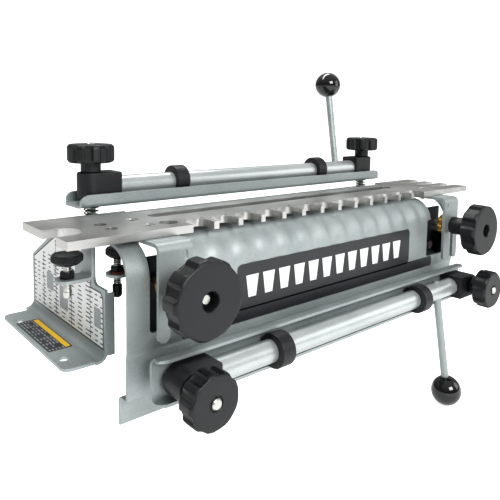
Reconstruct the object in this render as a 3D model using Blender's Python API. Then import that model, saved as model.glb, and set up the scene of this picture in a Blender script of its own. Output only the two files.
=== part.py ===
"""Router dovetail jig: stamped base, finger template and two cam clamps.

Lengths are written in millimetres and turned into metres by MM.
World frame: X runs along the jig to the right, Y to the back, Z up.
The origin is on the front edge of the bench top the jig hooks over.
"""
import math

import bmesh
import bpy
from mathutils import Matrix, Vector

MM = 0.001
GAP = 0.3

# Stamped base
BASE_HALF = 222.0
SHEET = 2.5
TOP_Z = 96.0
TOP_REAR = 126.0
REAR_DROP = 8.0
SHOULDER_R = 25.0
SHOULDER_STEPS = 6
PANEL_Y = -15.0
CREASE_Z = 16.0
CREASE_SET = 1.2
PANEL_BOTTOM = -20.0
LIP_BOTTOM = -39.5
SCALLOP_DEPTH = 2.6
SCALLOP_END_Z = 56.0
WINDOW_IN = 165.0
WINDOW_OUT = 204.0
WINDOW_LOW = 30.0
WINDOW_BACK = 22.0
SHOULDER_LUG = 7.0

# Side plates with a foot
PLATE_Y0 = 21.0
PLATE_Y1 = 177.0
PLATE_STEP_Z = 57.0
PLATE_NECK_Y = 42.0
PLATE_REAR_TOP = 108.0
FOOT_OUT = 32.0
FOOT_Y0 = 23.0
FOOT_Y1 = 168.0
FOOT_HOLE_X = 246.0
FOOT_HOLES_Y = (43.0, 144.0)
FOOT_HOLE_R = 4.0

# Template
TPL_X0 = -263.5
TPL_X1 = 261.5
TPL_Y0 = -10.0
TPL_Y1 = 77.0
TPL_TOP = 106.0
TPL_THICK = 6.35
PITCH = 25.4
FINGERS = 12
FINGER_W = 5.0
NOTCH_DEEP = 18.0
NOTCH_R = 6.0
FIRST_NOTCH_X = -162.0
FINGER_HOLE_R = 1.6
RECESS_X = (-176.5, 186.0)
RECESS_Y = 65.8
GUIDE_SLOT = (-172.0, 167.0, 35.0, 49.0)
END_SLOTS = ((7.0, 17.0), (29.0, 39.0), (51.0, 61.0))
END_SLOT_DEEP = 38.0
LEFT_HOLES = ((-220.0, 32.0, 5.0), (-220.0, 13.5, 5.0), (-173.0, 9.0, 7.5))
FINGER_HOLE_Y = 11.0
SIDE_NOTCH_Y = 22.5
SIDE_NOTCH_R = 13.5

# Template brackets, their studs and knobs
BRK_X = 191.0
BRK_HALF = 14.5
BRK_FRONT = -30.0
BRK_SHEET = 3.0
BRK_BOTTOM = 27.0
BRK_BACK = 46.0
BRK_SLOT = 5.0
BRK_STUD_Z = 67.0
STUD_R = 4.0
BIG_FACE_Y = -73.0
BIG_HEAD = 18.0
BIG_R = 28.5
BIG_FACE_R = 25.0
BIG_HUB_R = 10.0
NUT_R = 11.5
WASHER = 1.2
WASHER_R = 9.2
PIN_X = 178.0
PIN_Z = 42.0
PIN_R = 3.0
STUD_CLEAR = 0.15
BOLT_HEAD_R = 6.5
BOLT_HEAD = 4.2
PLATE_SET_BACK = 13.0
STOP_NUT = 8.0
SCREW_ROWS = (9.0, 36.0)
SCREW_R = 2.4

# Cam clamps, written for the top clamp and turned for the front one
CLAMP_STUD_X = 193.5
ROD_R = 9.5
RING_R = 14.5
RING_W = 14.0
RING_X = 102.0
CAM_E = 1.5
BAR_HALF = 212.0
BAR_HALF_Y = 17.5
BAR_TALL = 11.5
BLOCK_LOW = 6.5
BLOCK_HIGH = 29.8
BLOCK_LONG = 25.0
BLOCK_HALF_Y = 12.3
NECK_TOP = 38.5
KNOB_TOP = 55.0
KNOB_R = 20.7
KNOB_FACE_R = 17.5
NECK_R = 8.8
ROD_UP = 15.8
LEVER_X = 141.0
LEVER_LEAN = 9.0
LEVER_R = 4.0
BALL_R = 16.0
BALL_UP = 109.0
REST_LIFT = 13.2
TOP_CLAMP_Y = 106.0
FRONT_CLAMP_Z = 1.0

# Depth gauges
GAUGE_Y = 26.0
GAUGE_OUT_X = -249.0
GAUGE_IN_X = -209.0
EAR_OUT_Z = 70.5
EAR_IN_Z = 68.0
GAUGE_SCREW_R = 3.0
GAUGE_STRIP = 18.0
RISER_OUT_X = -233.0
RISER_IN_X = -196.0
LEDGE_OUT_X = -223.0
LEDGE_IN_X = -185.0
HEAD_OUT_Z = 81.0
HEAD_IN_Z = 80.0
HEAD_OUT_R = 11.5
HEAD_IN_R = 9.0
TIP_OUT_Z = 55.0
TIP_IN_Z = 48.0
TIP_OUT_R = 3.2
TIP_IN_R = 3.8
GAUGE_WASHER = 1.0
GAUGE_WASHER_R = 6.2

NOTCH_W = PITCH - FINGER_W
TPL_LOW = TPL_TOP - TPL_THICK
BAR_SHEET = 2.5

COLORS = {
    "grey powder coat": ((0.50, 0.53, 0.52), 0.42, 0.35),
    "bright aluminium": ((0.80, 0.80, 0.79), 0.25, 1.0),
    "black plastic": ((0.025, 0.026, 0.028), 0.45, 0.0),
    "gloss phenolic": ((0.008, 0.008, 0.009), 0.08, 0.0),
    "zinc steel": ((0.62, 0.62, 0.60), 0.30, 1.0),
    "black oxide steel": ((0.03, 0.03, 0.032), 0.5, 0.6),
    "brass": ((0.78, 0.55, 0.20), 0.25, 1.0),
    "copper": ((0.50, 0.18, 0.10), 0.35, 1.0),
}


def clear_scene():
    for obj in list(bpy.data.objects):
        bpy.data.objects.remove(obj, do_unlink=True)
    for name in ("dovetail_jig", "cutters"):
        coll = bpy.data.collections.new(name)
        bpy.context.scene.collection.children.link(coll)


def material(name):
    mat = bpy.data.materials.get(name)
    if mat:
        return mat
    color, rough, metal = COLORS[name]
    mat = bpy.data.materials.new(name)
    mat.use_nodes = True
    shader = mat.node_tree.nodes["Principled BSDF"]
    shader.inputs["Base Color"].default_value = (*color, 1.0)
    shader.inputs["Roughness"].default_value = rough
    shader.inputs["Metallic"].default_value = metal
    mat.diffuse_color = (*color, 1.0)
    return mat


# Solids are gathered in a bmesh; lengths go in as millimetres.
def prism(outline, low, high, axis="Z"):
    """Extrude a closed outline between two heights along an axis."""
    bm = bmesh.new()
    turns = {
        "Z": lambda a, b, h: (a, b, h),
        "X": lambda a, b, h: (h, a, b),
        "Y": lambda a, b, h: (b, h, a),
    }
    place = turns[axis]
    rows = []
    for height in (low, high):
        rows.append([bm.verts.new(place(a, b, height)) for a, b in outline])
    count = len(outline)
    for i in range(count):
        j = (i + 1) % count
        bm.faces.new((rows[0][i], rows[0][j], rows[1][j], rows[1][i]))
    bm.faces.new(list(reversed(rows[0])))
    bm.faces.new(rows[1])
    bmesh.ops.recalc_face_normals(bm, faces=bm.faces)
    return bm


def box(x0, x1, y0, y1, z0, z1):
    return prism([(x0, y0), (x1, y0), (x1, y1), (x0, y1)], z0, z1)


def circle(r, count, a0=0.0, b0=0.0):
    turn = 2 * math.pi / count
    return [(a0 + r * math.cos(turn * i), b0 + r * math.sin(turn * i)) for i in range(count)]


def rounded(a0, a1, b0, b1, r, steps=4):
    """Outline of a rectangle with rounded corners."""
    points = []
    corners = ((a1 - r, b1 - r, 0), (a0 + r, b1 - r, 1), (a0 + r, b0 + r, 2), (a1 - r, b0 + r, 3))
    for ca, cb, quarter in corners:
        for i in range(steps + 1):
            ang = (quarter + i / steps) * math.pi / 2
            points.append((ca + r * math.cos(ang), cb + r * math.sin(ang)))
    return points


def tube_profile(rings, count=32):
    """Solid of revolution about Z from (radius, height) pairs, bottom to top."""
    bm = bmesh.new()
    rows = []
    for r, h in rings:
        rows.append([bm.verts.new((a, b, h)) for a, b in circle(r, count)])
    for low, high in zip(rows, rows[1:]):
        for i in range(count):
            j = (i + 1) % count
            bm.faces.new((low[i], low[j], high[j], high[i]))
    bm.faces.new(list(reversed(rows[0])))
    bm.faces.new(rows[-1])
    bmesh.ops.recalc_face_normals(bm, faces=bm.faces)
    return bm


def bore_radius(r, count):
    """Corner radius of a faceted bore whose flats stay at r from the axis."""
    return r / math.cos(math.pi / count)


def cylinder(r, low, high, axis="Z", a0=0.0, b0=0.0, count=20):
    return prism(circle(r, count, a0, b0), low, high, axis)


def to_object(bm, name, mat_name, coll="dovetail_jig", smooth=True):
    mesh = bpy.data.meshes.new(name)
    bm.to_mesh(mesh)
    bm.free()
    mesh.transform(Matrix.Scale(MM, 4))
    if mat_name:
        mesh.materials.append(material(mat_name))
    obj = bpy.data.objects.new(name, mesh)
    bpy.data.collections[coll].objects.link(obj)
    if smooth:
        for poly in mesh.polygons:
            poly.use_smooth = True
        mesh.set_sharp_from_angle(angle=math.radians(32))
    return obj


def apply_boolean(obj, other, operation):
    mod = obj.modifiers.new(operation, "BOOLEAN")
    mod.operation = operation
    mod.solver = "EXACT"
    mod.object = other
    bpy.context.view_layer.update()
    graph = bpy.context.evaluated_depsgraph_get()
    mesh = bpy.data.meshes.new_from_object(obj.evaluated_get(graph))
    obj.modifiers.clear()
    obj.data = mesh


def cut(obj, bms):
    """Take solids away from an object."""
    for bm in bms:
        tool = to_object(bm, obj.name + "_cutter", None, "cutters", smooth=False)
        tool.hide_render = True
        tool.display_type = "WIRE"
        apply_boolean(obj, tool, "DIFFERENCE")
        bpy.data.objects.remove(tool, do_unlink=True)
    finish_mesh(obj)


def weld(obj, bms):
    """Add solids to an object as one body."""
    for bm in bms:
        tool = to_object(bm, obj.name + "_cutter", None, "cutters", smooth=False)
        apply_boolean(obj, tool, "UNION")
        bpy.data.objects.remove(tool, do_unlink=True)
    finish_mesh(obj)


def finish_mesh(obj):
    bm = bmesh.new()
    bm.from_mesh(obj.data)
    bmesh.ops.remove_doubles(bm, verts=bm.verts, dist=1e-6)
    bmesh.ops.dissolve_degenerate(bm, edges=bm.edges, dist=1e-6)
    bmesh.ops.recalc_face_normals(bm, faces=bm.faces)
    bm.to_mesh(obj.data)
    bm.free()
    for poly in obj.data.polygons:
        poly.use_smooth = True
    obj.data.set_sharp_from_angle(angle=math.radians(32))


def set_origin(obj, point_mm):
    """Put the object's origin on a joint axis without moving its mesh."""
    place = Vector(point_mm) * MM
    obj.data.transform(Matrix.Translation(-place))
    obj.location = place


def mirrored(bm):
    bmesh.ops.scale(bm, vec=(-1, 1, 1), verts=bm.verts)
    bmesh.ops.reverse_faces(bm, faces=bm.faces)
    return bm


def side_bm(bm, side):
    return bm if side > 0 else mirrored(bm)


SIDES = (("left", -1), ("right", 1))


# ---------------------------------------------------------------- base
def base_profile(depth):
    """Outer and inner lines of the stamped sheet; depth presses the shoulder in."""
    steps = SHOULDER_STEPS
    line = [(TOP_REAR, TOP_Z - REAR_DROP, 0, 1), (TOP_REAR, TOP_Z, -1, 1)]
    centre_y = PANEL_Y + SHOULDER_R
    centre_z = TOP_Z - SHOULDER_R
    line.append((centre_y + 9, TOP_Z, 0, 1))
    for i in range(steps + 1):
        ang = math.pi / 2 * (1 + i / steps)
        ny = math.cos(ang)
        nz = math.sin(ang)
        line.append((centre_y + SHOULDER_R * ny, centre_z + SHOULDER_R * nz, ny, nz))
    line.append((PANEL_Y, SCALLOP_END_Z, -1, 0))
    line.append((PANEL_Y, CREASE_Z + 1.5, -1, 0))
    line.append((PANEL_Y + CREASE_SET, CREASE_Z - 1.5, -1, 0))
    line.append((PANEL_Y + CREASE_SET, PANEL_BOTTOM, -1, -1))
    line.append((-SHEET, PANEL_BOTTOM, -1, -1))
    line.append((-SHEET, LIP_BOTTOM, -1, 0))
    outer = []
    inner = []
    last = len(line) - 1
    for i, (y, z, ny, nz) in enumerate(line):
        drop = 0.0
        if 3 <= i <= 3 + steps:
            drop = depth * math.sin(math.pi * (i - 2) / (steps + 2))
        oy = y - ny * drop
        oz = z - nz * drop
        outer.append((oy, oz))
        if i == 0:
            inner.append((oy - SHEET, oz))
        elif i == 1:
            inner.append((oy - SHEET, oz - SHEET))
        elif i == last:
            inner.append((oy + SHEET, oz))
        elif i == last - 1:
            inner.append((oy + SHEET, oz + SHEET))
        elif i == last - 2:
            inner.append((oy + SHEET, oz + SHEET))
        else:
            inner.append((oy - ny * SHEET, oz - nz * SHEET))
    return outer, inner


def scallop_stations():
    """Places along X and how deep the shoulder is pressed at each."""
    stations = [(-BASE_HALF, 0.0), (FIRST_NOTCH_X - 5, 0.0)]
    levels = (0.0, 0.85, 0.85)
    for k in range(FINGERS + 1):
        start = FIRST_NOTCH_X - FINGER_W / 2 + k * PITCH
        for i, level in enumerate(levels):
            stations.append((start + PITCH * i / len(levels), level * SCALLOP_DEPTH))
    end = FIRST_NOTCH_X - FINGER_W + (FINGERS + 1) * PITCH
    stations.append((end, 0.0))
    stations.append((BASE_HALF, 0.0))
    return stations


def make_base_shell():
    bm = bmesh.new()
    rings = []
    for x, depth in scallop_stations():
        outer, inner = base_profile(depth)
        loop = outer + list(reversed(inner))
        rings.append([bm.verts.new((x, y, z)) for y, z in loop])
    count = len(rings[0])
    for a, b in zip(rings, rings[1:]):
        for i in range(count):
            j = (i + 1) % count
            bm.faces.new((a[i], a[j], b[j], b[i]))
    half = count // 2
    for ring in (rings[0], rings[-1]):
        for i in range(half - 1):
            bm.faces.new((ring[i], ring[i + 1], ring[count - 2 - i], ring[count - 1 - i]))
    bmesh.ops.recalc_face_normals(bm, faces=bm.faces)
    shell = to_object(bm, "base_shell", "grey powder coat")
    cutters = []
    for _, side in SIDES:
        low = rounded(WINDOW_IN, WINDOW_OUT, WINDOW_LOW, TOP_Z - SHOULDER_R + 2, 1.5, 2)
        low_box = prism([(z, x) for x, z in low], PANEL_Y - 9, PANEL_Y + 9, "Y")
        cutters.append(side_bm(low_box, side))
        lug = WINDOW_IN + SHOULDER_LUG
        high_z = TOP_Z - SHOULDER_R + 0.5
        high = box(lug, WINDOW_OUT, PANEL_Y - 9, WINDOW_BACK, high_z, TOP_Z + 9)
        cutters.append(side_bm(high, side))
        hole = cylinder(STUD_R + STUD_CLEAR, PANEL_Y - 5, PANEL_Y + 8, "Y", FRONT_CLAMP_Z, CLAMP_STUD_X)
        cutters.append(side_bm(hole, side))
        hole = cylinder(STUD_R + STUD_CLEAR, TOP_Z - 9, TOP_Z + 5, "Z", CLAMP_STUD_X, TOP_CLAMP_Y)
        cutters.append(side_bm(hole, side))
    cut(shell, cutters)


def make_foot_plate(name, side):
    """Upright side plate, its foot turned outward and its seam turned inward."""
    outline = [
        (PLATE_Y0 + 3, 0), (PLATE_Y1, 0), (PLATE_Y1, PLATE_STEP_Z - 2),
        (PLATE_REAR_TOP, TOP_Z - SHEET - GAP), (PLATE_NECK_Y, TOP_Z - SHEET - GAP),
        (PLATE_NECK_Y, PLATE_STEP_Z), (PLATE_Y0 + 7, PLATE_STEP_Z),
        (PLATE_Y0 + 2, PLATE_STEP_Z - 2), (PLATE_Y0, PLATE_STEP_Z - 7), (PLATE_Y0, 3),
    ]
    plate_out = BASE_HALF
    plate_in = BASE_HALF - SHEET
    plate = prism(outline, plate_in, plate_out, "X")
    foot_out = plate_out + FOOT_OUT
    foot_line = [
        (plate_in, FOOT_Y0), (foot_out - 6, FOOT_Y0), (foot_out - 2, FOOT_Y0 + 2),
        (foot_out, FOOT_Y0 + 6), (foot_out, FOOT_Y1 - 6), (foot_out - 2, FOOT_Y1 - 2),
        (foot_out - 6, FOOT_Y1), (plate_in, FOOT_Y1),
    ]
    foot = prism(foot_line, 0, SHEET)
    seam_top = TOP_Z - SHEET - GAP
    seam = box(plate_in - 14, plate_out, PLATE_NECK_Y + 4, PLATE_REAR_TOP - 4, seam_top - SHEET, seam_top)
    flange = box(plate_in - 4, plate_out, PLATE_Y0, PLATE_Y0 + SHEET, 4, PLATE_STEP_Z - 8)
    obj = to_object(side_bm(plate, side), name, "grey powder coat")
    weld(obj, [side_bm(foot, side), side_bm(seam, side), side_bm(flange, side)])
    holes = []
    for y in FOOT_HOLES_Y:
        hole = cylinder(FOOT_HOLE_R, -5, SHEET + 5, "Z", FOOT_HOLE_X, y)
        holes.append(side_bm(hole, side))
    cut(obj, holes)


def make_stud_plate(name, side):
    """Black channel closing the window from behind; it carries the bracket stud."""
    back = PANEL_Y + PLATE_SET_BACK
    low = WINDOW_LOW - 5
    face = box(WINDOW_IN - 5, WINDOW_OUT + 7, back, back + SHEET, low, 84)
    front = PANEL_Y + SHEET + GAP
    inner = box(WINDOW_IN - 5, WINDOW_IN - 5 + SHEET, front, back + SHEET, low, SCALLOP_END_Z - 3)
    outer = box(WINDOW_OUT + 7 - SHEET, WINDOW_OUT + 7, front, back + SHEET, low, SCALLOP_END_Z - 3)
    obj = to_object(side_bm(face, side), name, "black oxide steel")
    weld(obj, [side_bm(inner, side), side_bm(outer, side)])
    hole = cylinder(STUD_R + STUD_CLEAR, back - 5, back + 8, "Y", BRK_STUD_Z, BRK_X)
    pin = cylinder(PIN_R + STUD_CLEAR, back - 5, back + 8, "Y", PIN_Z, PIN_X)
    cut(obj, [side_bm(hole, side), side_bm(pin, side)])


def revolve_on(rings, base, axis, count=32):
    """Turn a Z solid of revolution so that it stands on a point along an axis."""
    bm = tube_profile(rings, count)
    turns = {
        "Z": Matrix.Identity(4),
        "-Y": Matrix.Rotation(math.pi / 2, 4, "X"),
    }
    bmesh.ops.transform(bm, matrix=Matrix.Translation(base) @ turns[axis], verts=bm.verts)
    return bm


def make_bracket_stud(name, side):
    back = PANEL_Y + PLATE_SET_BACK + SHEET
    length = back - BIG_FACE_Y - 6
    rings = [(BOLT_HEAD_R, -GAP - BOLT_HEAD), (BOLT_HEAD_R, -GAP), (STUD_R, -GAP)]
    rings += [(STUD_R, length - 0.8), (STUD_R - 0.8, length)]
    bm = revolve_on(rings, (side * BRK_X, back, BRK_STUD_Z), "-Y", 24)
    to_object(bm, name, "zinc steel")


def make_stop_pin(name, side):
    """Black pin that hangs in the window and stops the edge of the front board."""
    back = PANEL_Y + PLATE_SET_BACK
    flange = PIN_R + 2.0
    rings = [(flange, -SHEET - 4), (flange, -SHEET - GAP), (PIN_R, -SHEET - GAP)]
    rings += [(PIN_R, GAP), (flange, GAP), (flange, 9.0), (flange - 0.8, 10.0)]
    bm = revolve_on(rings, (side * PIN_X, back, PIN_Z), "-Y", 20)
    to_object(bm, name, "black oxide steel")


# ---------------------------------------------------------------- template
def template_outline():
    points = [(TPL_X0, TPL_Y0)]
    x = FIRST_NOTCH_X
    front = TPL_Y0
    for _ in range(FINGERS + 1):
        right = x + NOTCH_W
        rear = front + NOTCH_DEEP
        points.append((x, front))
        for quarter, cx in ((2, x + NOTCH_R), (1, right - NOTCH_R)):
            for i in range(3):
                ang = (quarter - i / 2) * math.pi / 2
                y = rear - NOTCH_R + NOTCH_R * math.sin(ang)
                points.append((cx + NOTCH_R * math.cos(ang), y))
        points.append((right, front))
        x += PITCH
    points.append((TPL_X1, front))
    for low, high in END_SLOTS:
        r = (high - low) / 2
        points.append((TPL_X1, low))
        for i in range(7):
            ang = -math.pi / 2 - math.pi * i / 6
            points.append((TPL_X1 - END_SLOT_DEEP + r * math.cos(ang), low + r + r * math.sin(ang)))
        points.append((TPL_X1, high))
    points += [(TPL_X1, TPL_Y1), (RECESS_X[1], TPL_Y1), (RECESS_X[1], RECESS_Y)]
    points += [(RECESS_X[0], RECESS_Y), (RECESS_X[0], TPL_Y1), (TPL_X0, TPL_Y1)]
    points += [(TPL_X0, SIDE_NOTCH_Y + SIDE_NOTCH_R)]
    for i in range(9):
        ang = math.pi / 2 - math.pi * i / 8
        x = TPL_X0 + 11 + 13 * math.cos(ang)
        points.append((x, SIDE_NOTCH_Y + SIDE_NOTCH_R * math.sin(ang)))
    points.append((TPL_X0, SIDE_NOTCH_Y - SIDE_NOTCH_R))
    return points


def make_template():
    obj = to_object(prism(template_outline(), TPL_LOW, TPL_TOP), "template", "bright aluminium")
    cutters = []
    slot = rounded(*GUIDE_SLOT, 6.9, 5)
    cutters.append(prism(slot, TPL_LOW - 3, TPL_TOP + 3))
    holes = list(LEFT_HOLES)
    for k in range(FINGERS + 1):
        holes.append((FIRST_NOTCH_X - FINGER_W / 2 + k * PITCH, FINGER_HOLE_Y, FINGER_HOLE_R))
    for x, y, r in holes:
        cutters.append(cylinder(r, TPL_LOW - 3, TPL_TOP + 3, "Z", x, y, 16 if r > 2 else 6))
    for _, side in SIDES:
        for y in SCREW_ROWS[:2 if side < 0 else 1]:
            r = SCREW_R + 0.3
            seat = [(r, TPL_LOW - 1), (r, TPL_TOP - 3.6), (5.3, TPL_TOP - 0.6), (5.3, TPL_TOP + 1)]
            cutters.append(revolve_on(seat, (side * BRK_X, y, 0), "Z", 20))
    cut(obj, cutters)


def make_bracket_screw(name, side, y, below):
    """Countersunk screw through the template; below is what shows under the flange."""
    low = TPL_LOW - GAP - BRK_SHEET - below
    rings = [(SCREW_R, low), (SCREW_R, TPL_TOP - 3.7), (5.0, TPL_TOP - 0.9), (5.0, TPL_TOP - 0.4)]
    to_object(revolve_on(rings, (side * BRK_X, y, 0), "Z", 20), name, "zinc steel")


def make_bracket(name, side, screw_rows):
    """Fork bracket: a slotted plate in front, a flange under the template."""
    top = TPL_LOW - GAP
    r = 5.0
    line = [(BRK_BACK, top)]
    inner = [(BRK_BACK, top - BRK_SHEET)]
    centre = (BRK_FRONT + r, top - r)
    for i in range(6):
        ang = math.pi / 2 * (1 + i / 5)
        line.append((centre[0] + r * math.cos(ang), centre[1] + r * math.sin(ang)))
        k = r - BRK_SHEET
        inner.append((centre[0] + k * math.cos(ang), centre[1] + k * math.sin(ang)))
    line.append((BRK_FRONT, BRK_BOTTOM))
    inner.append((BRK_FRONT + BRK_SHEET, BRK_BOTTOM))
    x0 = BRK_X - BRK_HALF
    x1 = BRK_X + BRK_HALF
    bm = prism(line + list(reversed(inner)), x0, x1, "X")
    obj = to_object(side_bm(bm, side), name, "grey powder coat")
    arc = [(BRK_X + BRK_SLOT * math.cos(math.pi * i / 8), BRK_STUD_Z + BRK_SLOT * math.sin(math.pi * i / 8))
           for i in range(9)]
    slot = arc + [(BRK_X - BRK_SLOT, BRK_BOTTOM - 5), (BRK_X + BRK_SLOT, BRK_BOTTOM - 5)]
    cutters = [side_bm(prism([(z, x) for x, z in slot], BRK_FRONT - 4, BRK_FRONT + 8, "Y"), side)]
    for y in screw_rows:
        cutters.append(cylinder(SCREW_R + 0.3, top - 9, top + 5, "Z", side * BRK_X, y, 16))
    cut(obj, cutters)


def lobed_head(outer, valley, face, low, high, lobes, grip=0.5):
    """Fluted knob head about Z, with rounded rims."""
    bm = bmesh.new()
    per = 4
    count = lobes * per
    soft = 3.0
    levels = ((face, low), (outer - 0.6, low + soft), (outer, low + soft + 1.5))
    levels += ((outer, high - soft - 1.0), (outer - 0.8, high - soft + 0.8), (face, high))
    rows = []
    for radius, height in levels:
        ring = []
        for i in range(count):
            phase = (i % per) / per
            dip = 1.0 if phase < grip else 0.0
            full = radius if radius <= face else radius - (outer - valley) * dip
            ang = 2 * math.pi * i / count
            ring.append(bm.verts.new((full * math.cos(ang), full * math.sin(ang), height)))
        rows.append(ring)
    for low_row, high_row in zip(rows, rows[1:]):
        for i in range(count):
            j = (i + 1) % count
            bm.faces.new((low_row[i], low_row[j], high_row[j], high_row[i]))
    bm.faces.new(list(reversed(rows[0])))
    bm.faces.new(rows[-1])
    bmesh.ops.recalc_face_normals(bm, faces=bm.faces)
    return bm


def make_big_knob(name, side):
    base_y = BRK_FRONT - 2 * GAP - WASHER
    length = base_y - BIG_FACE_Y
    head = lobed_head(BIG_R, BIG_R - 3.2, BIG_FACE_R, length - BIG_HEAD, length, 9)
    hub = tube_profile([(BIG_HUB_R - 0.6, 0), (BIG_HUB_R, 0.8), (BIG_HUB_R, length - BIG_HEAD + 2)], 28)
    obj = to_object(head, name, "black plastic")
    weld(obj, [hub])
    bore = [(STUD_R + 0.05, -3), (STUD_R + 0.05, length - 10), (7.0, length - 10), (7.0, length + 3)]
    cut(obj, [tube_profile(bore, 24)])
    obj.data.transform(Matrix.Rotation(math.pi / 2, 4, "X"))
    obj.location = Vector((side * BRK_X, base_y, BRK_STUD_Z)) * MM


def make_washer(name, side, y_back):
    """Plain washer on the bracket stud; the fork runs against it."""
    bm = cylinder(WASHER_R, y_back - WASHER, y_back, "Y", BRK_STUD_Z, BRK_X)
    obj = to_object(side_bm(bm, side), name, "zinc steel")
    hole = cylinder(STUD_R + 0.2, y_back - 5, y_back + 5, "Y", BRK_STUD_Z, BRK_X)
    cut(obj, [side_bm(hole, side)])
    set_origin(obj, (side * BRK_X, y_back, BRK_STUD_Z))


def make_stop_nut(name, side):
    """Knurled brass thumb nut that sets how far forward the template sits."""
    front = BRK_FRONT + BRK_SHEET + 2 * GAP + WASHER
    thick = STOP_NUT
    rings = [(NUT_R - 1.5, 0), (NUT_R, 1.5), (NUT_R, thick - 1.5), (NUT_R - 1.5, thick)]
    bm = revolve_on(rings, (0, thick, 0), "-Y", 28)
    obj = to_object(bm, name, "brass")
    cut(obj, [cylinder(STUD_R + 0.05, -3, thick + 3, "Y")])
    obj.location = Vector((side * BRK_X, front, BRK_STUD_Z)) * MM


# ---------------------------------------------------------------- clamps
def clamp_matrix(which):
    """Clamp space has Z away from the work; the back of the bar is at zero."""
    if which == "top":
        return Matrix.Translation(Vector((0, TOP_CLAMP_Y, TOP_Z + REST_LIFT)) * MM)
    place = Matrix.Translation(Vector((0, PANEL_Y - REST_LIFT, FRONT_CLAMP_Z)) * MM)
    return place @ Matrix.Rotation(math.pi / 2, 4, "X")


def place_clamp_part(obj, which, origin):
    """Move a part from clamp space to the jig, keeping its origin on its axis."""
    matrix = clamp_matrix(which)
    local = Vector(origin) * MM
    obj.data.transform(Matrix.Translation(-local))
    obj.data.transform(matrix.to_3x3().to_4x4())
    obj.location = matrix @ local


def make_bar(which):
    low = -BAR_HALF_Y
    high = BAR_HALF_Y
    s = BAR_SHEET
    line = [(low, BAR_TALL), (low, 2.0), (low + 2, 0), (high - 2, 0), (high, 2.0), (high, BAR_TALL)]
    line += [(high - s, BAR_TALL), (high - s, s), (low + s, s), (low + s, BAR_TALL)]
    obj = to_object(prism(line, -BAR_HALF, BAR_HALF, "X"), which + "_clamp_bar", "grey powder coat")
    cutters = []
    for _, side in SIDES:
        r = 10.0
        end = BAR_HALF
        tall = BAR_TALL
        corner = [(end + 1, tall + 1), (end - r, tall + 1), (end - r, tall)]
        for i in range(1, 7):
            ang = math.pi / 2 * (1 - i / 6)
            corner.append((end - r + r * math.cos(ang), tall - r + r * math.sin(ang)))
        corner.append((end + 1, tall - r))
        turned = [(z, x) for x, z in corner]
        cutters.append(side_bm(prism(turned, low - 3, high + 3, "Y"), side))
        hole = cylinder(STUD_R + 0.6, -3, s + 3, "Z", side * CLAMP_STUD_X, 0, 20)
        cutters.append(hole)
    cut(obj, cutters)
    place_clamp_part(obj, which, (0, 0, 0))


def make_block(which, label, side):
    """Moulded block: round about the stud, square where it takes the rod."""
    w = BLOCK_HALF_Y
    x_out = CLAMP_STUD_X
    x_in = CLAMP_STUD_X - BLOCK_LONG
    points = [(x_in, -w), (x_out, -w)]
    for i in range(1, 10):
        ang = -math.pi / 2 + math.pi * i / 10
        points.append((x_out + w * math.cos(ang), w * math.sin(ang)))
    points += [(x_out, w), (x_in, w)]
    bm = prism(points, BLOCK_LOW, BLOCK_HIGH)
    edges = [e for e in bm.edges if all(v.co.z > BLOCK_HIGH - 0.01 for v in e.verts)]
    bmesh.ops.bevel(bm, geom=edges, offset=1.2, segments=2, profile=0.5, affect="EDGES")
    name = which + "_" + label + "_block"
    obj = to_object(side_bm(bm, side), name, "black plastic")
    socket = cylinder(bore_radius(ROD_R + 0.05, 28), x_in - 5, x_in + 12, "X", 0, ROD_UP, 28)
    hole = cylinder(STUD_R + 0.05, -3, BLOCK_HIGH + 5, "Z", CLAMP_STUD_X, 0)
    cut(obj, [side_bm(socket, side), side_bm(hole, side)])
    place_clamp_part(obj, which, (side * CLAMP_STUD_X, 0, BLOCK_LOW))


def lever_turned(bm, which):
    """A released lever leans; the front one also hangs a quarter turn further about the rod."""
    degrees = -LEVER_LEAN
    if which == "front":
        degrees += 90.0
    axis = Vector((0, 0, ROD_UP))
    turn = Matrix.Rotation(math.radians(degrees), 3, "X")
    bmesh.ops.rotate(bm, cent=axis, matrix=turn, verts=bm.verts)
    return bm


def make_rod(which):
    half = CLAMP_STUD_X - BLOCK_LONG + 11.5
    bm = cylinder(ROD_R, -half, half, "X", 0, ROD_UP, 28)
    obj = to_object(bm, which + "_cam_rod", "grey powder coat")
    hole = cylinder(LEVER_R + 0.02, ROD_UP - 15, ROD_UP + 15, "Z", LEVER_X, 0)
    cut(obj, [lever_turned(hole, which)])
    place_clamp_part(obj, which, (0, 0, ROD_UP))


def make_cam_ring(which, label, side):
    x0 = side * RING_X - RING_W / 2
    x1 = side * RING_X + RING_W / 2
    bm = prism(circle(RING_R, 32, 0, ROD_UP + CAM_E), x0, x1, "X")
    obj = to_object(bm, which + "_" + label + "_cam", "black plastic")
    cut(obj, [cylinder(ROD_R + 0.02, x0 - 3, x1 + 3, "X", 0, ROD_UP, 28)])
    place_clamp_part(obj, which, (side * RING_X, 0, ROD_UP))


def make_lever(which):
    low = ROD_UP - ROD_R - 1.5
    top = ROD_UP + BALL_UP - BALL_R + 6
    rings = [(LEVER_R - 0.6, low), (LEVER_R, low + 0.6), (LEVER_R, top)]
    bm = tube_profile(rings, 20)
    bmesh.ops.translate(bm, vec=(LEVER_X, 0, 0), verts=bm.verts)
    obj = to_object(lever_turned(bm, which), which + "_lever", "grey powder coat")
    place_clamp_part(obj, which, (LEVER_X, 0, ROD_UP))


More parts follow.
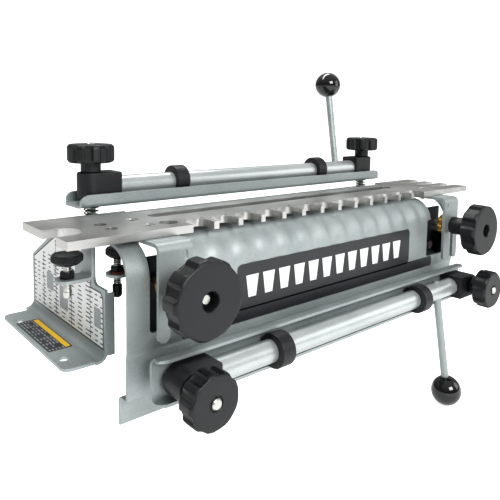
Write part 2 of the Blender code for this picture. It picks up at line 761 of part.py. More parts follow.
def make_ball(which):
    centre = ROD_UP + BALL_UP
    rings = []
    for i in range(1, 12):
        ang = -math.pi / 2 + math.pi * i / 12
        rings.append((BALL_R * math.cos(ang), centre + BALL_R * math.sin(ang)))
    bm = tube_profile(rings, 24)
    bmesh.ops.translate(bm, vec=(LEVER_X, 0, 0), verts=bm.verts)
    obj = to_object(lever_turned(bm, which), which + "_lever_ball", "gloss phenolic")
    seat = cylinder(LEVER_R + 0.02, centre - BALL_R - 3, centre - BALL_R + 6.3, "Z", LEVER_X, 0)
    cut(obj, [lever_turned(seat, which)])
    place_clamp_part(obj, which, (LEVER_X, 0, ROD_UP))


def make_clamp_knob(which, label, side):
    low = BLOCK_HIGH + GAP
    head = lobed_head(KNOB_R, KNOB_R - 2.2, KNOB_FACE_R, NECK_TOP, KNOB_TOP, 9)
    neck = tube_profile([(NECK_R - 0.5, low), (NECK_R, low + 0.6), (NECK_R, NECK_TOP + 2)], 24)
    obj = to_object(head, which + "_" + label + "_knob", "black plastic")
    weld(obj, [neck])
    cut(obj, [cylinder(STUD_R + 0.05, low - 3, KNOB_TOP + 3)])
    obj.data.transform(Matrix.Translation(Vector((side * CLAMP_STUD_X, 0, 0)) * MM))
    place_clamp_part(obj, which, (side * CLAMP_STUD_X, 0, low))


def make_clamp_stud(which, label, side):
    inside = -REST_LIFT - SHEET - GAP - (CREASE_SET if which == "front" else 0.0)
    rings = [(6.5, inside - 5), (6.5, inside), (STUD_R, inside)]
    rings += [(STUD_R, KNOB_TOP + 0.4), (STUD_R - 0.8, KNOB_TOP + 1.2)]
    bm = tube_profile(rings, 24)
    bmesh.ops.translate(bm, vec=(side * CLAMP_STUD_X, 0, 0), verts=bm.verts)
    obj = to_object(bm, which + "_" + label + "_stud", "zinc steel")
    place_clamp_part(obj, which, (side * CLAMP_STUD_X, 0, 0))


def make_clamp_spring(which, label, side):
    """Coil that lifts the bar off the work when the cam lets go."""
    turns = 3.5
    wire = 0.6
    coil_r = 6.0
    low = -REST_LIFT + wire + GAP
    high = -wire - GAP
    per = 12
    steps = int(turns * per)
    bm = bmesh.new()
    rows = []
    for i in range(steps + 1):
        t = i / steps
        ang = 2 * math.pi * turns * t
        out = Vector((math.cos(ang), math.sin(ang), 0))
        centre = out * coil_r + Vector((0, 0, low + (high - low) * t))
        row = []
        for k in range(4):
            a = 2 * math.pi * k / 4
            row.append(bm.verts.new(centre + out * (wire * math.cos(a)) + Vector((0, 0, wire * math.sin(a)))))
        rows.append(row)
    for a, b in zip(rows, rows[1:]):
        for k in range(4):
            m = (k + 1) % 4
            bm.faces.new((a[k], b[k], b[m], a[m]))
    bm.faces.new(rows[0])
    bm.faces.new(list(reversed(rows[-1])))
    bmesh.ops.recalc_face_normals(bm, faces=bm.faces)
    bmesh.ops.translate(bm, vec=(side * CLAMP_STUD_X, 0, 0), verts=bm.verts)
    obj = to_object(bm, which + "_" + label + "_spring", "black oxide steel")
    place_clamp_part(obj, which, (side * CLAMP_STUD_X, 0, -REST_LIFT))


def make_clamp(which):
    make_bar(which)
    make_rod(which)
    make_lever(which)
    make_ball(which)
    for label, side in SIDES:
        make_block(which, label, side)
        make_cam_ring(which, label, side)
        make_clamp_knob(which, label, side)
        make_clamp_stud(which, label, side)
        make_clamp_spring(which, label, side)


# ---------------------------------------------------------------- depth gauges
def make_gauge_bracket(name, gauge_x, ear_z, riser_x, top_z, ledge):
    """Bent strip: an ear for the screw, a riser and a tab that fixes it."""
    width = GAUGE_STRIP / 2
    y0 = GAUGE_Y - width
    y1 = GAUGE_Y + width
    toward = 1 if riser_x > gauge_x else -1
    ear_line = []
    for i in range(9):
        ang = math.pi / 2 + math.pi * i / 8
        ear_line.append((gauge_x + toward * width * math.cos(ang), GAUGE_Y + width * math.sin(ang)))
    ear_line += [(riser_x, y0), (riser_x, y1)]
    ear = prism(ear_line, ear_z - SHEET, ear_z)
    half = SHEET / 2
    riser = box(riser_x - half, riser_x + half, y0, y1, ear_z - SHEET, top_z)
    x0, x1 = sorted((riser_x - half * toward, ledge))
    tab = box(x0, x1, y0, y1 + 22, top_z - SHEET, top_z)
    obj = to_object(ear, name, "grey powder coat")
    weld(obj, [riser, tab])
    cut(obj, [cylinder(GAUGE_SCREW_R + 0.05, ear_z - 9, ear_z + 9, "Z", gauge_x, GAUGE_Y, 20)])


def make_gauge_screw(name, x, ear_z, head_z, tip_z, tip_r):
    """Depth screw: thread through the ear, round tip below it."""
    bm = tube_profile([(GAUGE_SCREW_R, ear_z - SHEET - 9), (GAUGE_SCREW_R, head_z + 6)], 20)
    obj = to_object(bm, name, "zinc steel")
    tip_top = ear_z - SHEET - 7.0
    rings = [(tip_r - 2, tip_z), (tip_r - 0.6, tip_z + 1.2), (tip_r, tip_z + 3), (tip_r, tip_top)]
    tip = tube_profile(rings, 20)
    weld(obj, [tip])
    obj.data.transform(Matrix.Translation(Vector((x, GAUGE_Y, 0)) * MM))
    set_origin(obj, (x, GAUGE_Y, ear_z))


def make_gauge_knob(name, x, head_z, head_r):
    """Knurled head pressed on the depth screw."""
    rings = [(head_r - 3, head_z), (head_r, head_z + 3), (head_r, head_z + 7), (head_r - 1, head_z + 8)]
    obj = to_object(tube_profile(rings, 32), name, "black plastic")
    bore = bore_radius(GAUGE_SCREW_R + 0.05, 20)
    cut(obj, [cylinder(bore, head_z - 3, head_z + 6.3, "Z", 0, 0, 20)])
    obj.data.transform(Matrix.Translation(Vector((x, GAUGE_Y, 0)) * MM))
    set_origin(obj, (x, GAUGE_Y, head_z))


def make_hex_nut(name, x, low, high, across=9.6):
    bm = prism(circle(across / 2 / math.cos(math.pi / 6), 6), low, high)
    obj = to_object(bm, name, "black oxide steel", smooth=False)
    cut(obj, [cylinder(GAUGE_SCREW_R + 0.05, low - 3, high + 3, "Z", 0, 0, 20)])
    obj.data.transform(Matrix.Translation(Vector((x, GAUGE_Y, 0)) * MM))
    set_origin(obj, (x, GAUGE_Y, low))


def make_gauge_washer(name, x, low):
    """Copper washer between the ear and its lock nut."""
    bm = cylinder(GAUGE_WASHER_R, low, low + GAUGE_WASHER, "Z", 0, 0, 24)
    obj = to_object(bm, name, "copper")
    cut(obj, [cylinder(GAUGE_SCREW_R + 0.2, low - 3, low + 3, "Z", 0, 0, 20)])
    obj.data.transform(Matrix.Translation(Vector((x, GAUGE_Y, 0)) * MM))
    set_origin(obj, (x, GAUGE_Y, low))


def make_depth_gauges():
    seam = TOP_Z - SHEET - GAP
    make_gauge_bracket("outer_gauge_bracket", GAUGE_OUT_X, EAR_OUT_Z, RISER_OUT_X, seam, LEDGE_OUT_X)
    make_gauge_bracket("inner_gauge_bracket", GAUGE_IN_X, EAR_IN_Z, RISER_IN_X, seam, LEDGE_IN_X)
    make_gauge_screw("outer_depth_screw", GAUGE_OUT_X, EAR_OUT_Z, HEAD_OUT_Z, TIP_OUT_Z, TIP_OUT_R)
    make_gauge_screw("inner_depth_screw", GAUGE_IN_X, EAR_IN_Z, HEAD_IN_Z, TIP_IN_Z, TIP_IN_R)
    make_gauge_knob("outer_depth_knob", GAUGE_OUT_X, HEAD_OUT_Z, HEAD_OUT_R)
    make_gauge_knob("inner_depth_knob", GAUGE_IN_X, HEAD_IN_Z, HEAD_IN_R)
    make_hex_nut("outer_depth_nut", GAUGE_OUT_X, EAR_OUT_Z + GAP, EAR_OUT_Z + 5.0)
    make_gauge_washer("inner_depth_washer", GAUGE_IN_X, EAR_IN_Z + GAP)
    nut_low = EAR_IN_Z + 2 * GAP + GAUGE_WASHER
    make_hex_nut("inner_depth_nut", GAUGE_IN_X, nut_low, nut_low + 3.4)


def build():
    clear_scene()
    make_base_shell()
    make_template()
    for label, side in SIDES:
        make_foot_plate(label + "_foot_plate", side)
        make_stud_plate(label + "_stud_plate", side)
        make_bracket_stud(label + "_bracket_stud", side)
        make_stop_pin(label + "_stop_pin", side)
        make_bracket(label + "_bracket", side, SCREW_ROWS[:2 if side < 0 else 1])
        make_big_knob(label + "_bracket_knob", side)
        make_stop_nut(label + "_stop_nut", side)
        make_washer(label + "_knob_washer", side, BRK_FRONT - GAP)
        make_washer(label + "_nut_washer", side, BRK_FRONT + BRK_SHEET + GAP + WASHER)
        make_bracket_screw(label + "_bracket_screw", side, SCREW_ROWS[0], 3.5)
    make_bracket_screw("rear_bracket_screw", -1, SCREW_ROWS[1], 0.0)
    for which in ("top", "front"):
        make_clamp(which)
    make_depth_gauges()


build()
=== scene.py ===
# %% [markdown]
# # A router dovetail jig, piece by piece
# The jig hooks over the edge of a bench. A stamped steel base carries an aluminium finger
# template, and two bars with cam levers clamp the boards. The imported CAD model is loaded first
# and stays as it is: every new piece is built around it, in the same frame, in metres.

import math

import bmesh
import bpy
from mathutils import Matrix, Vector


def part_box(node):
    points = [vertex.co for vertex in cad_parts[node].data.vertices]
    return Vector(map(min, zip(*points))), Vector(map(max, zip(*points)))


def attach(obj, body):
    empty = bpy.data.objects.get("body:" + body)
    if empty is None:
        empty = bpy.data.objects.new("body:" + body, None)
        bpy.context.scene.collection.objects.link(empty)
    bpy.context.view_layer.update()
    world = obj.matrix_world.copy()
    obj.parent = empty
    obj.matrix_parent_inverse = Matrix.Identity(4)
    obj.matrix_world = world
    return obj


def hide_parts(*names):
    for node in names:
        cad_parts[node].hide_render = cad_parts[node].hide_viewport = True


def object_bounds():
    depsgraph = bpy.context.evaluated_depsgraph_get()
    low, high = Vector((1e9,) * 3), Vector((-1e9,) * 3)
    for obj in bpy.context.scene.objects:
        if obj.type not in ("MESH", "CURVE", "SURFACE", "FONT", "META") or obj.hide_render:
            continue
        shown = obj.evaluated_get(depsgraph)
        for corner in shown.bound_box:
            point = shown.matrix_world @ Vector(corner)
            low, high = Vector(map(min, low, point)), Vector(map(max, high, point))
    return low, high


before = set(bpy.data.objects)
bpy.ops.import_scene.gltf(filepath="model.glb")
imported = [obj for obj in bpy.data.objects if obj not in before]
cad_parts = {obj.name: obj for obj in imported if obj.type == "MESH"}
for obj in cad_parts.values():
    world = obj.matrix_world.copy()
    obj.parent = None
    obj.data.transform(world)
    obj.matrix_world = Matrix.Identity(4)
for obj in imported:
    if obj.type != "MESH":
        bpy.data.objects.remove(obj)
CAD_LOW, CAD_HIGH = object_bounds()
MM = 0.001
SIDES = (("left", -1), ("right", 1))


def box_mm(node):
    """Lowest and highest corner of a CAD node in millimetres."""
    low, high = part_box(node)
    return low / MM, high / MM


# %% [markdown]
# ## Materials
# Each finish starts from what the real one is. A texture is given in millimetres and read from
# Object coordinates, which are metres here, so a grain of 1 mm is a noise scale of 1000.
# One function turns a hex colour to linear light, and one adds a node with its links.

# %% Colour and node helpers
def linear(hex_code):
    """sRGB hex to linear RGBA."""
    out = []
    for i in (0, 2, 4):
        c = int(hex_code[i:i + 2], 16) / 255
        out.append(c / 12.92 if c <= 0.04045 else ((c + 0.055) / 1.055) ** 2.4)
    return (*out, 1.0)


def add(tree, kind, links=None, **settings):
    """Add a node, set its properties, and link or fill its inputs."""
    node = tree.nodes.new(kind)
    for key, value in settings.items():
        setattr(node, key, value)
    for key, value in (links or {}).items():
        socket = node.inputs[key]
        if isinstance(value, bpy.types.NodeSocket):
            tree.links.new(value, socket)
        else:
            socket.default_value = value
    return node


def surface(name, dark, light, metallic, rough, grain, bump, stretch=(1, 1, 1), blotch=40.0,
            coat=0.0):
    """A finish with two near tones, a fine grain that bumps and varies the gloss, and soft blotches."""
    mat = bpy.data.materials.new(name)
    mat.use_nodes = True
    tree = mat.node_tree
    shader = tree.nodes["Principled BSDF"]
    shader.inputs["Metallic"].default_value = metallic
    shader.inputs["Coat Weight"].default_value = coat
    shader.inputs["Coat Roughness"].default_value = 0.08
    place = add(tree, "ShaderNodeTexCoord").outputs["Object"]
    scaled = add(tree, "ShaderNodeMapping", {"Vector": place, "Scale": stretch}).outputs[0]
    fine = add(tree, "ShaderNodeTexNoise", {"Vector": scaled, "Scale": 1 / (grain * MM), "Detail": 3.0})
    soft = add(tree, "ShaderNodeTexNoise", {"Vector": place, "Scale": 1 / (blotch * MM), "Detail": 2.0})
    both = add(tree, "ShaderNodeMath", {0: fine.outputs[0], 1: soft.outputs[0]}, operation="ADD")
    half = add(tree, "ShaderNodeMath", {0: both.outputs[0], 1: 0.5}, operation="MULTIPLY")
    ramp = add(tree, "ShaderNodeValToRGB", {"Fac": half.outputs[0]})
    ramp.color_ramp.elements[0].position = 0.38
    ramp.color_ramp.elements[0].color = linear(dark)
    ramp.color_ramp.elements[1].position = 0.62
    ramp.color_ramp.elements[1].color = linear(light)
    tree.links.new(ramp.outputs[0], shader.inputs["Base Color"])
    low, high = rough
    gloss = add(tree, "ShaderNodeMapRange", {"Value": half.outputs[0], "From Min": 0.35, "From Max": 0.65,
                                             "To Min": low, "To Max": high})
    tree.links.new(gloss.outputs[0], shader.inputs["Roughness"])
    relief = add(tree, "ShaderNodeBump", {"Height": fine.outputs[0], "Strength": bump,
                                          "Distance": grain * MM * 0.3})
    tree.links.new(relief.outputs[0], shader.inputs["Normal"])
    return mat


# %% [markdown]
# ### The finishes
# - Silver-grey powder coat: baked polyester with a little metal flake. It flows out to a fine
#   orange peel of about 1 mm, and reads as a soft satin.
# - Silver paint on the cam rods, smoother than the sheet metal; its tone is a shade lighter as a painted
#   highlight for the light the rods catch.
# - Machined aluminium: the plate is milled and lightly brushed along its length.
# - Moulded nylon: the knobs, rings and blocks, with a fine spark-eroded grain.
# - Phenolic: the ball handles, polished to a deep gloss.
# - Zinc plate, black oxide, turned brass and dull copper for the hardware.
# - Printed vinyl for the labels.

# %% Make the finishes
POWDER = surface("silver_grey_powder_coat", "98A0A0", "A9B0AF", 0.5,
                 (0.42, 0.52), 1.1, 0.10)
# Rod tones lighter than the sheet metal: partly a smoother silver paint, partly a painted highlight.
ROD_SILVER_AND_HIGHLIGHT = surface("rod_silver_paint_with_painted_highlight", "B4BABA", "C6CBCA", 0.65,
                 (0.30, 0.38), 0.9, 0.06)
ALUMINIUM = surface("brushed_machined_aluminium", "B9B9B7", "D2D2D0", 1.0,
                    (0.28, 0.40), 0.5, 0.08, stretch=(0.03, 1, 1))
NYLON = surface("moulded_black_nylon", "121315", "1A1C1E", 0.0,
                (0.40, 0.52), 0.45, 0.22)
PHENOLIC = surface("polished_black_phenolic", "040405", "070708", 0.0,
                   (0.05, 0.09), 0.8, 0.01, coat=0.6)
ZINC = surface("zinc_plated_steel", "B9BAB4", "D0D1CC", 1.0, (0.24, 0.36), 0.5, 0.06)
OXIDE = surface("black_oxide_steel", "17181A", "242628", 0.6, (0.40, 0.52), 0.6, 0.1)
BRASS = surface("turned_brass", "C79A48", "DDB566", 1.0, (0.18, 0.28), 0.4, 0.06,
                stretch=(1, 0.05, 1))
COPPER = surface("dull_copper", "6E3224", "8A4430", 0.0, (0.5, 0.6), 0.5, 0.1)
BLACK_FILM = surface("black_vinyl_film", "232527", "2B2D30", 0.0, (0.34, 0.42), 0.9, 0.03)
WHITE_FILM = surface("white_vinyl_film", "E3E5E4", "ECEEED", 0.0, (0.36, 0.44), 0.9, 0.03)
YELLOW_INK = surface("yellow_print", "E0B41E", "EAC02A", 0.0, (0.4, 0.5), 0.9, 0.03)
BLACK_INK = surface("black_print", "1B1C1E", "26282A", 0.0, (0.4, 0.5), 0.9, 0.03)
GREY_INK = surface("grey_print", "8E9496", "9BA1A3", 0.0, (0.4, 0.5), 0.9, 0.03)


# %% [markdown]
# ## Shape helpers
# Outlines are lists of points in millimetres. `prism` pushes one along an axis, `turned` spins
# a half section about Z, and `strip` gives a folded sheet its two faces, so that every bend has
# a true inside and outside radius.

# %% Solids from outlines
def prism(outline, low, high, axis="Z"):
    """Push a closed outline along an axis. Y takes (z, x) pairs and X takes (y, z)."""
    place = {
        "Z": lambda a, b, h: (a, b, h),
        "X": lambda a, b, h: (h, a, b),
        "Y": lambda a, b, h: (b, h, a),
    }[axis]
    bm = bmesh.new()
    rows = [[bm.verts.new(place(a, b, h)) for a, b in outline] for h in (low, high)]
    count = len(outline)
    for i in range(count):
        j = (i + 1) % count
        bm.faces.new((rows[0][i], rows[0][j], rows[1][j], rows[1][i]))
    bm.faces.new(list(reversed(rows[0])))
    bm.faces.new(rows[1])
    bmesh.ops.recalc_face_normals(bm, faces=bm.faces)
    return bm


def circle(r, count=48, a0=0.0, b0=0.0):
    turn = 2 * math.pi / count
    return [(a0 + r * math.cos(turn * i), b0 + r * math.sin(turn * i)) for i in range(count)]


def rounded_box(a0, a1, b0, b1, r, steps=8):
    """Rectangle with rounded corners."""
    points = []
    centres = ((a1 - r, b1 - r), (a0 + r, b1 - r), (a0 + r, b0 + r), (a1 - r, b0 + r))
    for quarter, (ca, cb) in enumerate(centres):
        for i in range(steps + 1):
            ang = (quarter + i / steps) * math.pi / 2
            points.append((ca + r * math.cos(ang), cb + r * math.sin(ang)))
    return points


def turned(rings, count=48):
    """Spin (radius, height) pairs about Z, bottom to top; a zero radius closes in a point."""
    bm = bmesh.new()
    rows = []
    for r, h in rings:
        if r < 1e-6:
            rows.append([bm.verts.new((0, 0, h))])
        else:
            rows.append([bm.verts.new((a, b, h)) for a, b in circle(r, count)])
    for low, high in zip(rows, rows[1:]):
        for i in range(count):
            j = (i + 1) % count
            if len(low) == 1:
                bm.faces.new((low[0], high[j], high[i]))
            elif len(high) == 1:
                bm.faces.new((low[i], low[j], high[0]))
            else:
                bm.faces.new((low[i], low[j], high[j], high[i]))
    for row in (rows[0], rows[-1]):
        if len(row) > 1:
            bm.faces.new(row)
    bmesh.ops.recalc_face_normals(bm, faces=bm.faces)
    return bm


# %% Bent sheet and rounded corners
def eased(points, radii, steps=5):
    """Open path with each inner corner replaced by an arc of its own radius."""
    out = [Vector(points[0])]
    for i in range(1, len(points) - 1):
        here = Vector(points[i])
        r = radii[i] if isinstance(radii, (list, tuple)) else radii
        to_a = (Vector(points[i - 1]) - here).normalized()
        to_b = (Vector(points[i + 1]) - here).normalized()
        half = to_a.angle(to_b) / 2
        if r <= 0 or half > 1.56:
            out.append(here)
            continue
        reach = r / math.tan(half)
        centre = here + (to_a + to_b).normalized() * (r / math.sin(half))
        start = (here + to_a * reach - centre).normalized()
        end = (here + to_b * reach - centre).normalized()
        for k in range(steps + 1):
            out.append(centre + start.slerp(end, k / steps) * r)
    out.append(Vector(points[-1]))
    return out


def normals_2d(path):
    """Normal on the left of the path at each point, scaled so that offsets keep their thickness."""
    out = []
    for i, here in enumerate(path):
        before = (here - path[i - 1]).normalized() if i else None
        after = (path[i + 1] - here).normalized() if i < len(path) - 1 else None
        before = before or after
        after = after or before
        mid = (before + after).normalized()
        normal = Vector((-mid.y, mid.x))
        out.append(normal / max(0.3, normal.dot(Vector((-after.y, after.x)))))
    return out


def strip(path, thick):
    """Closed outline of a folded sheet; the path is one face, and the other lies to its left."""
    other = [p + n * thick for p, n in zip(path, normals_2d(path))]
    return [tuple(p) for p in path] + [tuple(p) for p in reversed(other)]


# %% [markdown]
# ## Finishing a piece
# Every piece ends the same way: cut what has to be cut, round its edges a little, weld, give it
# its finish, and let it ride on its CAD body. The new piece stands for the plain CAD node.

# %% Finish, ride and replace
def raw(bm, name):
    mesh = bpy.data.meshes.new(name)
    bm.to_mesh(mesh)
    bm.free()
    mesh.transform(Matrix.Scale(MM, 4))
    obj = bpy.data.objects.new(name, mesh)
    bpy.context.scene.collection.objects.link(obj)
    return obj


def baked(obj):
    """Apply the modifiers by taking the evaluated mesh."""
    bpy.context.view_layer.update()
    graph = bpy.context.evaluated_depsgraph_get()
    mesh = bpy.data.meshes.new_from_object(obj.evaluated_get(graph))
    obj.modifiers.clear()
    obj.data = mesh
    return obj


def carve(obj, cutters, operation="DIFFERENCE"):
    """Cut with (or add) solids, one Boolean each."""
    for bm in cutters:
        tool = raw(bm, "tool")
        mod = obj.modifiers.new("carve", "BOOLEAN")
        mod.operation = operation
        mod.solver = "EXACT"
        mod.object = tool
        baked(obj)
        bpy.data.objects.remove(tool, do_unlink=True)
    return obj


def soften(obj, width, angle=35):
    mod = obj.modifiers.new("edge", "BEVEL")
    mod.width = width * MM
    mod.segments = 2
    mod.limit_method = "ANGLE"
    mod.angle_limit = math.radians(angle)
    mod.use_clamp_overlap = True
    return baked(obj)


def dress(obj, mat, body, nodes=(), angle=35):
    """Weld, smooth, paint, and hand the piece to its body. Big faces set the normals, so they look flat."""
    mesh = obj.data
    bm = bmesh.new()
    bm.from_mesh(mesh)
    bmesh.ops.remove_doubles(bm, verts=bm.verts, dist=2e-6)
    bmesh.ops.dissolve_degenerate(bm, edges=bm.edges, dist=1e-6)
    bm.to_mesh(mesh)
    bm.free()
    mesh.materials.clear()
    mesh.materials.append(mat)
    for poly in mesh.polygons:
        poly.use_smooth = True
        poly.material_index = 0
    mesh.set_sharp_from_angle(angle=math.radians(angle))
    level = obj.modifiers.new("level", "WEIGHTED_NORMAL")
    level.weight = 100
    level.keep_sharp = True
    baked(obj)
    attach(obj, body)
    if nodes:
        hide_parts(*nodes)
    return obj


def merged(*bms):
    """Put several separate solids in one mesh."""
    out = bmesh.new()
    for bm in bms:
        part = bpy.data.meshes.new("part")
        bm.to_mesh(part)
        bm.free()
        out.from_mesh(part)
        bpy.data.meshes.remove(part)
    return out


def moved(bm, matrix):
    bmesh.ops.transform(bm, matrix=matrix, verts=bm.verts)
    if matrix.determinant() < 0:
        bmesh.ops.reverse_faces(bm, faces=bm.faces)
    return bm


def shifted(bm, x=0.0, y=0.0, z=0.0):
    return moved(bm, Matrix.Translation((x, y, z)))


def on_side(bm, side):
    return bm if side > 0 else moved(bm, Matrix.Scale(-1, 4, (1, 0, 0)))


TO_FRONT = Matrix.Rotation(math.pi / 2, 4, "X")


# %% [markdown]
# ## Geometry Nodes
# Coils, threads, knurls, knob flutes and printed rows all repeat by a rule, so small trees make
# them. A tree is built with named inputs, its values are set by socket identifier before the
# object is first evaluated, and the result is turned into a plain mesh.

# %% Tree helpers
def new_tree(name, inputs, takes_mesh=False):
    tree = bpy.data.node_groups.new(name, "GeometryNodeTree")
    face = tree.interface
    if takes_mesh:
        face.new_socket("Geometry", in_out="INPUT", socket_type="NodeSocketGeometry")
    for label, kind in inputs:
        face.new_socket(label, in_out="INPUT", socket_type=kind)
    face.new_socket("Geometry", in_out="OUTPUT", socket_type="NodeSocketGeometry")
    return tree, add(tree, "NodeGroupInput").outputs


def close_tree(tree, geometry, mat_socket):
    real = add(tree, "GeometryNodeRealizeInstances", {"Geometry": geometry})
    painted = add(tree, "GeometryNodeSetMaterial", {"Geometry": real.outputs[0], "Material": mat_socket})
    add(tree, "NodeGroupOutput", {0: painted.outputs[0]})


def grown(tree, name, values, mat, base=None):
    """Run a tree on an object and keep the plain mesh that it gives."""
    obj = base or raw(bmesh.new(), name)
    obj.name = name
    mod = obj.modifiers.new("tree", "NODES")
    mod.node_group = tree
    for item in tree.interface.items_tree:
        if item.in_out == "INPUT" and item.name in values:
            mod[item.identifier] = values[item.name]
        if item.in_out == "INPUT" and item.name == "Material":
            mod[item.identifier] = mat
    return baked(obj)


FLOAT = "NodeSocketFloat"
COUNT = "NodeSocketInt"
MATERIAL = "NodeSocketMaterial"


# %% Coil tree: springs and screw threads
def coil_tree():
    """A round wire wound about Z."""
    tree, given = new_tree("coil", [("Radius", FLOAT), ("Height", FLOAT), ("Turns", FLOAT),
                                    ("Wire", FLOAT), ("Steps", COUNT), ("Material", MATERIAL)])
    spiral = add(tree, "GeometryNodeCurveSpiral", {
        "Resolution": given["Steps"], "Rotations": given["Turns"], "Start Radius": given["Radius"],
        "End Radius": given["Radius"], "Height": given["Height"]})
    wire = add(tree, "GeometryNodeCurvePrimitiveCircle", {"Resolution": 8, "Radius": given["Wire"]})
    tube = add(tree, "GeometryNodeCurveToMesh", {
        "Curve": spiral.outputs[0], "Profile Curve": wire.outputs[0], "Fill Caps": True})
    close_tree(tree, tube.outputs[0], given["Material"])
    return tree


COIL = coil_tree()


def coil(name, radius, height, turns, wire, mat, matrix, per_turn=24):
    """Wind a coil and put it in place; sizes in millimetres."""
    obj = grown(COIL, name, {
        "Radius": radius * MM, "Height": height * MM, "Turns": float(turns),
        "Wire": wire * MM, "Steps": int(per_turn)}, mat)
    obj.data.transform(Matrix.Scale(1 / MM, 4))
    obj.data.transform(matrix)
    obj.data.transform(Matrix.Scale(MM, 4))
    return obj


# %% Knurl tree: ridges round a rim
def knurl_tree():
    tree, given = new_tree("knurl", [("Radius", FLOAT), ("Count", COUNT), ("Length", FLOAT),
                                     ("Ridge", FLOAT), ("Material", MATERIAL)])
    ring = add(tree, "GeometryNodeCurvePrimitiveCircle", {"Resolution": 96, "Radius": given["Radius"]})
    spots = add(tree, "GeometryNodeCurveToPoints", {"Curve": ring.outputs[0], "Count": given["Count"]})
    size = add(tree, "ShaderNodeCombineXYZ", {0: given["Ridge"], 1: given["Ridge"], 2: given["Length"]})
    bar = add(tree, "GeometryNodeMeshCube", {"Size": size.outputs[0]})
    many = add(tree, "GeometryNodeInstanceOnPoints", {
        "Points": spots.outputs[0], "Instance": bar.outputs[0]})
    angle = add(tree, "GeometryNodeInputPosition")
    split = add(tree, "ShaderNodeSeparateXYZ", {0: angle.outputs[0]})
    around = add(tree, "ShaderNodeMath", {0: split.outputs[1], 1: split.outputs[0]}, operation="ARCTAN2")
    eighth = add(tree, "ShaderNodeMath", {0: around.outputs[0], 1: math.pi / 4}, operation="ADD")
    euler = add(tree, "ShaderNodeCombineXYZ", {2: eighth.outputs[0]})
    tree.links.new(euler.outputs[0], many.inputs["Rotation"])
    close_tree(tree, many.outputs[0], given["Material"])
    return tree


KNURL = knurl_tree()


def knurl(name, radius, count, length, ridge, mat, matrix):
    obj = grown(KNURL, name, {"Radius": radius * MM, "Count": count, "Length": length * MM,
                              "Ridge": ridge * MM}, mat)
    obj.data.transform(Matrix.Scale(1 / MM, 4))
    obj.data.transform(matrix)
    obj.data.transform(Matrix.Scale(MM, 4))
    return obj


# %% Flute tree: finger scoops round a knob
def flute_tree():
    """Presses scoops into the rim of a turned blank, and lets them fade towards the face."""
    tree, given = new_tree("flutes", [("Flutes", FLOAT), ("Depth", FLOAT), ("Inner", FLOAT),
                                      ("Outer", FLOAT), ("Low", FLOAT), ("High", FLOAT),
                                      ("Fade", FLOAT), ("Material", MATERIAL)], takes_mesh=True)
    here = add(tree, "GeometryNodeInputPosition").outputs[0]
    split = add(tree, "ShaderNodeSeparateXYZ", {0: here}).outputs
    angle = add(tree, "ShaderNodeMath", {0: split[1], 1: split[0]}, operation="ARCTAN2").outputs[0]
    times = add(tree, "ShaderNodeMath", {0: angle, 1: given["Flutes"]}, operation="MULTIPLY").outputs[0]
    wave = add(tree, "ShaderNodeMath", {0: times}, operation="COSINE").outputs[0]
    scoop = add(tree, "ShaderNodeMapRange", {"Value": wave, "From Min": -0.45, "From Max": 0.55},
                interpolation_type="SMOOTHSTEP").outputs[0]
    flat = add(tree, "ShaderNodeCombineXYZ", {0: split[0], 1: split[1]}).outputs[0]
    radius = add(tree, "ShaderNodeVectorMath", {0: flat}, operation="LENGTH").outputs["Value"]
    rim = add(tree, "ShaderNodeMapRange", {"Value": radius, "From Min": given["Inner"],
                                           "From Max": given["Outer"]},
              interpolation_type="SMOOTHSTEP").outputs[0]
    low_end = add(tree, "ShaderNodeMath", {0: given["Low"], 1: given["Fade"]}, operation="ADD").outputs[0]
    rise = add(tree, "ShaderNodeMapRange", {"Value": split[2], "From Min": given["Low"],
                                            "From Max": low_end},
               interpolation_type="SMOOTHSTEP").outputs[0]
    high_end = add(tree, "ShaderNodeMath", {0: given["High"], 1: given["Fade"]},
                   operation="SUBTRACT").outputs[0]
    fall = add(tree, "ShaderNodeMapRange", {"Value": split[2], "From Min": given["High"],
                                            "From Max": high_end},
               interpolation_type="SMOOTHSTEP").outputs[0]
    amount = given["Depth"]
    for factor in (scoop, rim, rise, fall):
        amount = add(tree, "ShaderNodeMath", {0: amount, 1: factor}, operation="MULTIPLY").outputs[0]
    inward = add(tree, "ShaderNodeVectorMath", {0: flat}, operation="NORMALIZE").outputs[0]
    back = add(tree, "ShaderNodeMath", {0: amount, 1: -1.0}, operation="MULTIPLY").outputs[0]
    offset = add(tree, "ShaderNodeVectorMath", {0: inward, "Scale": back}, operation="SCALE").outputs[0]
    pressed = add(tree, "GeometryNodeSetPosition", {"Geometry": given["Geometry"], "Offset": offset})
    close_tree(tree, pressed.outputs[0], given["Material"])
    return tree


FLUTES = flute_tree()


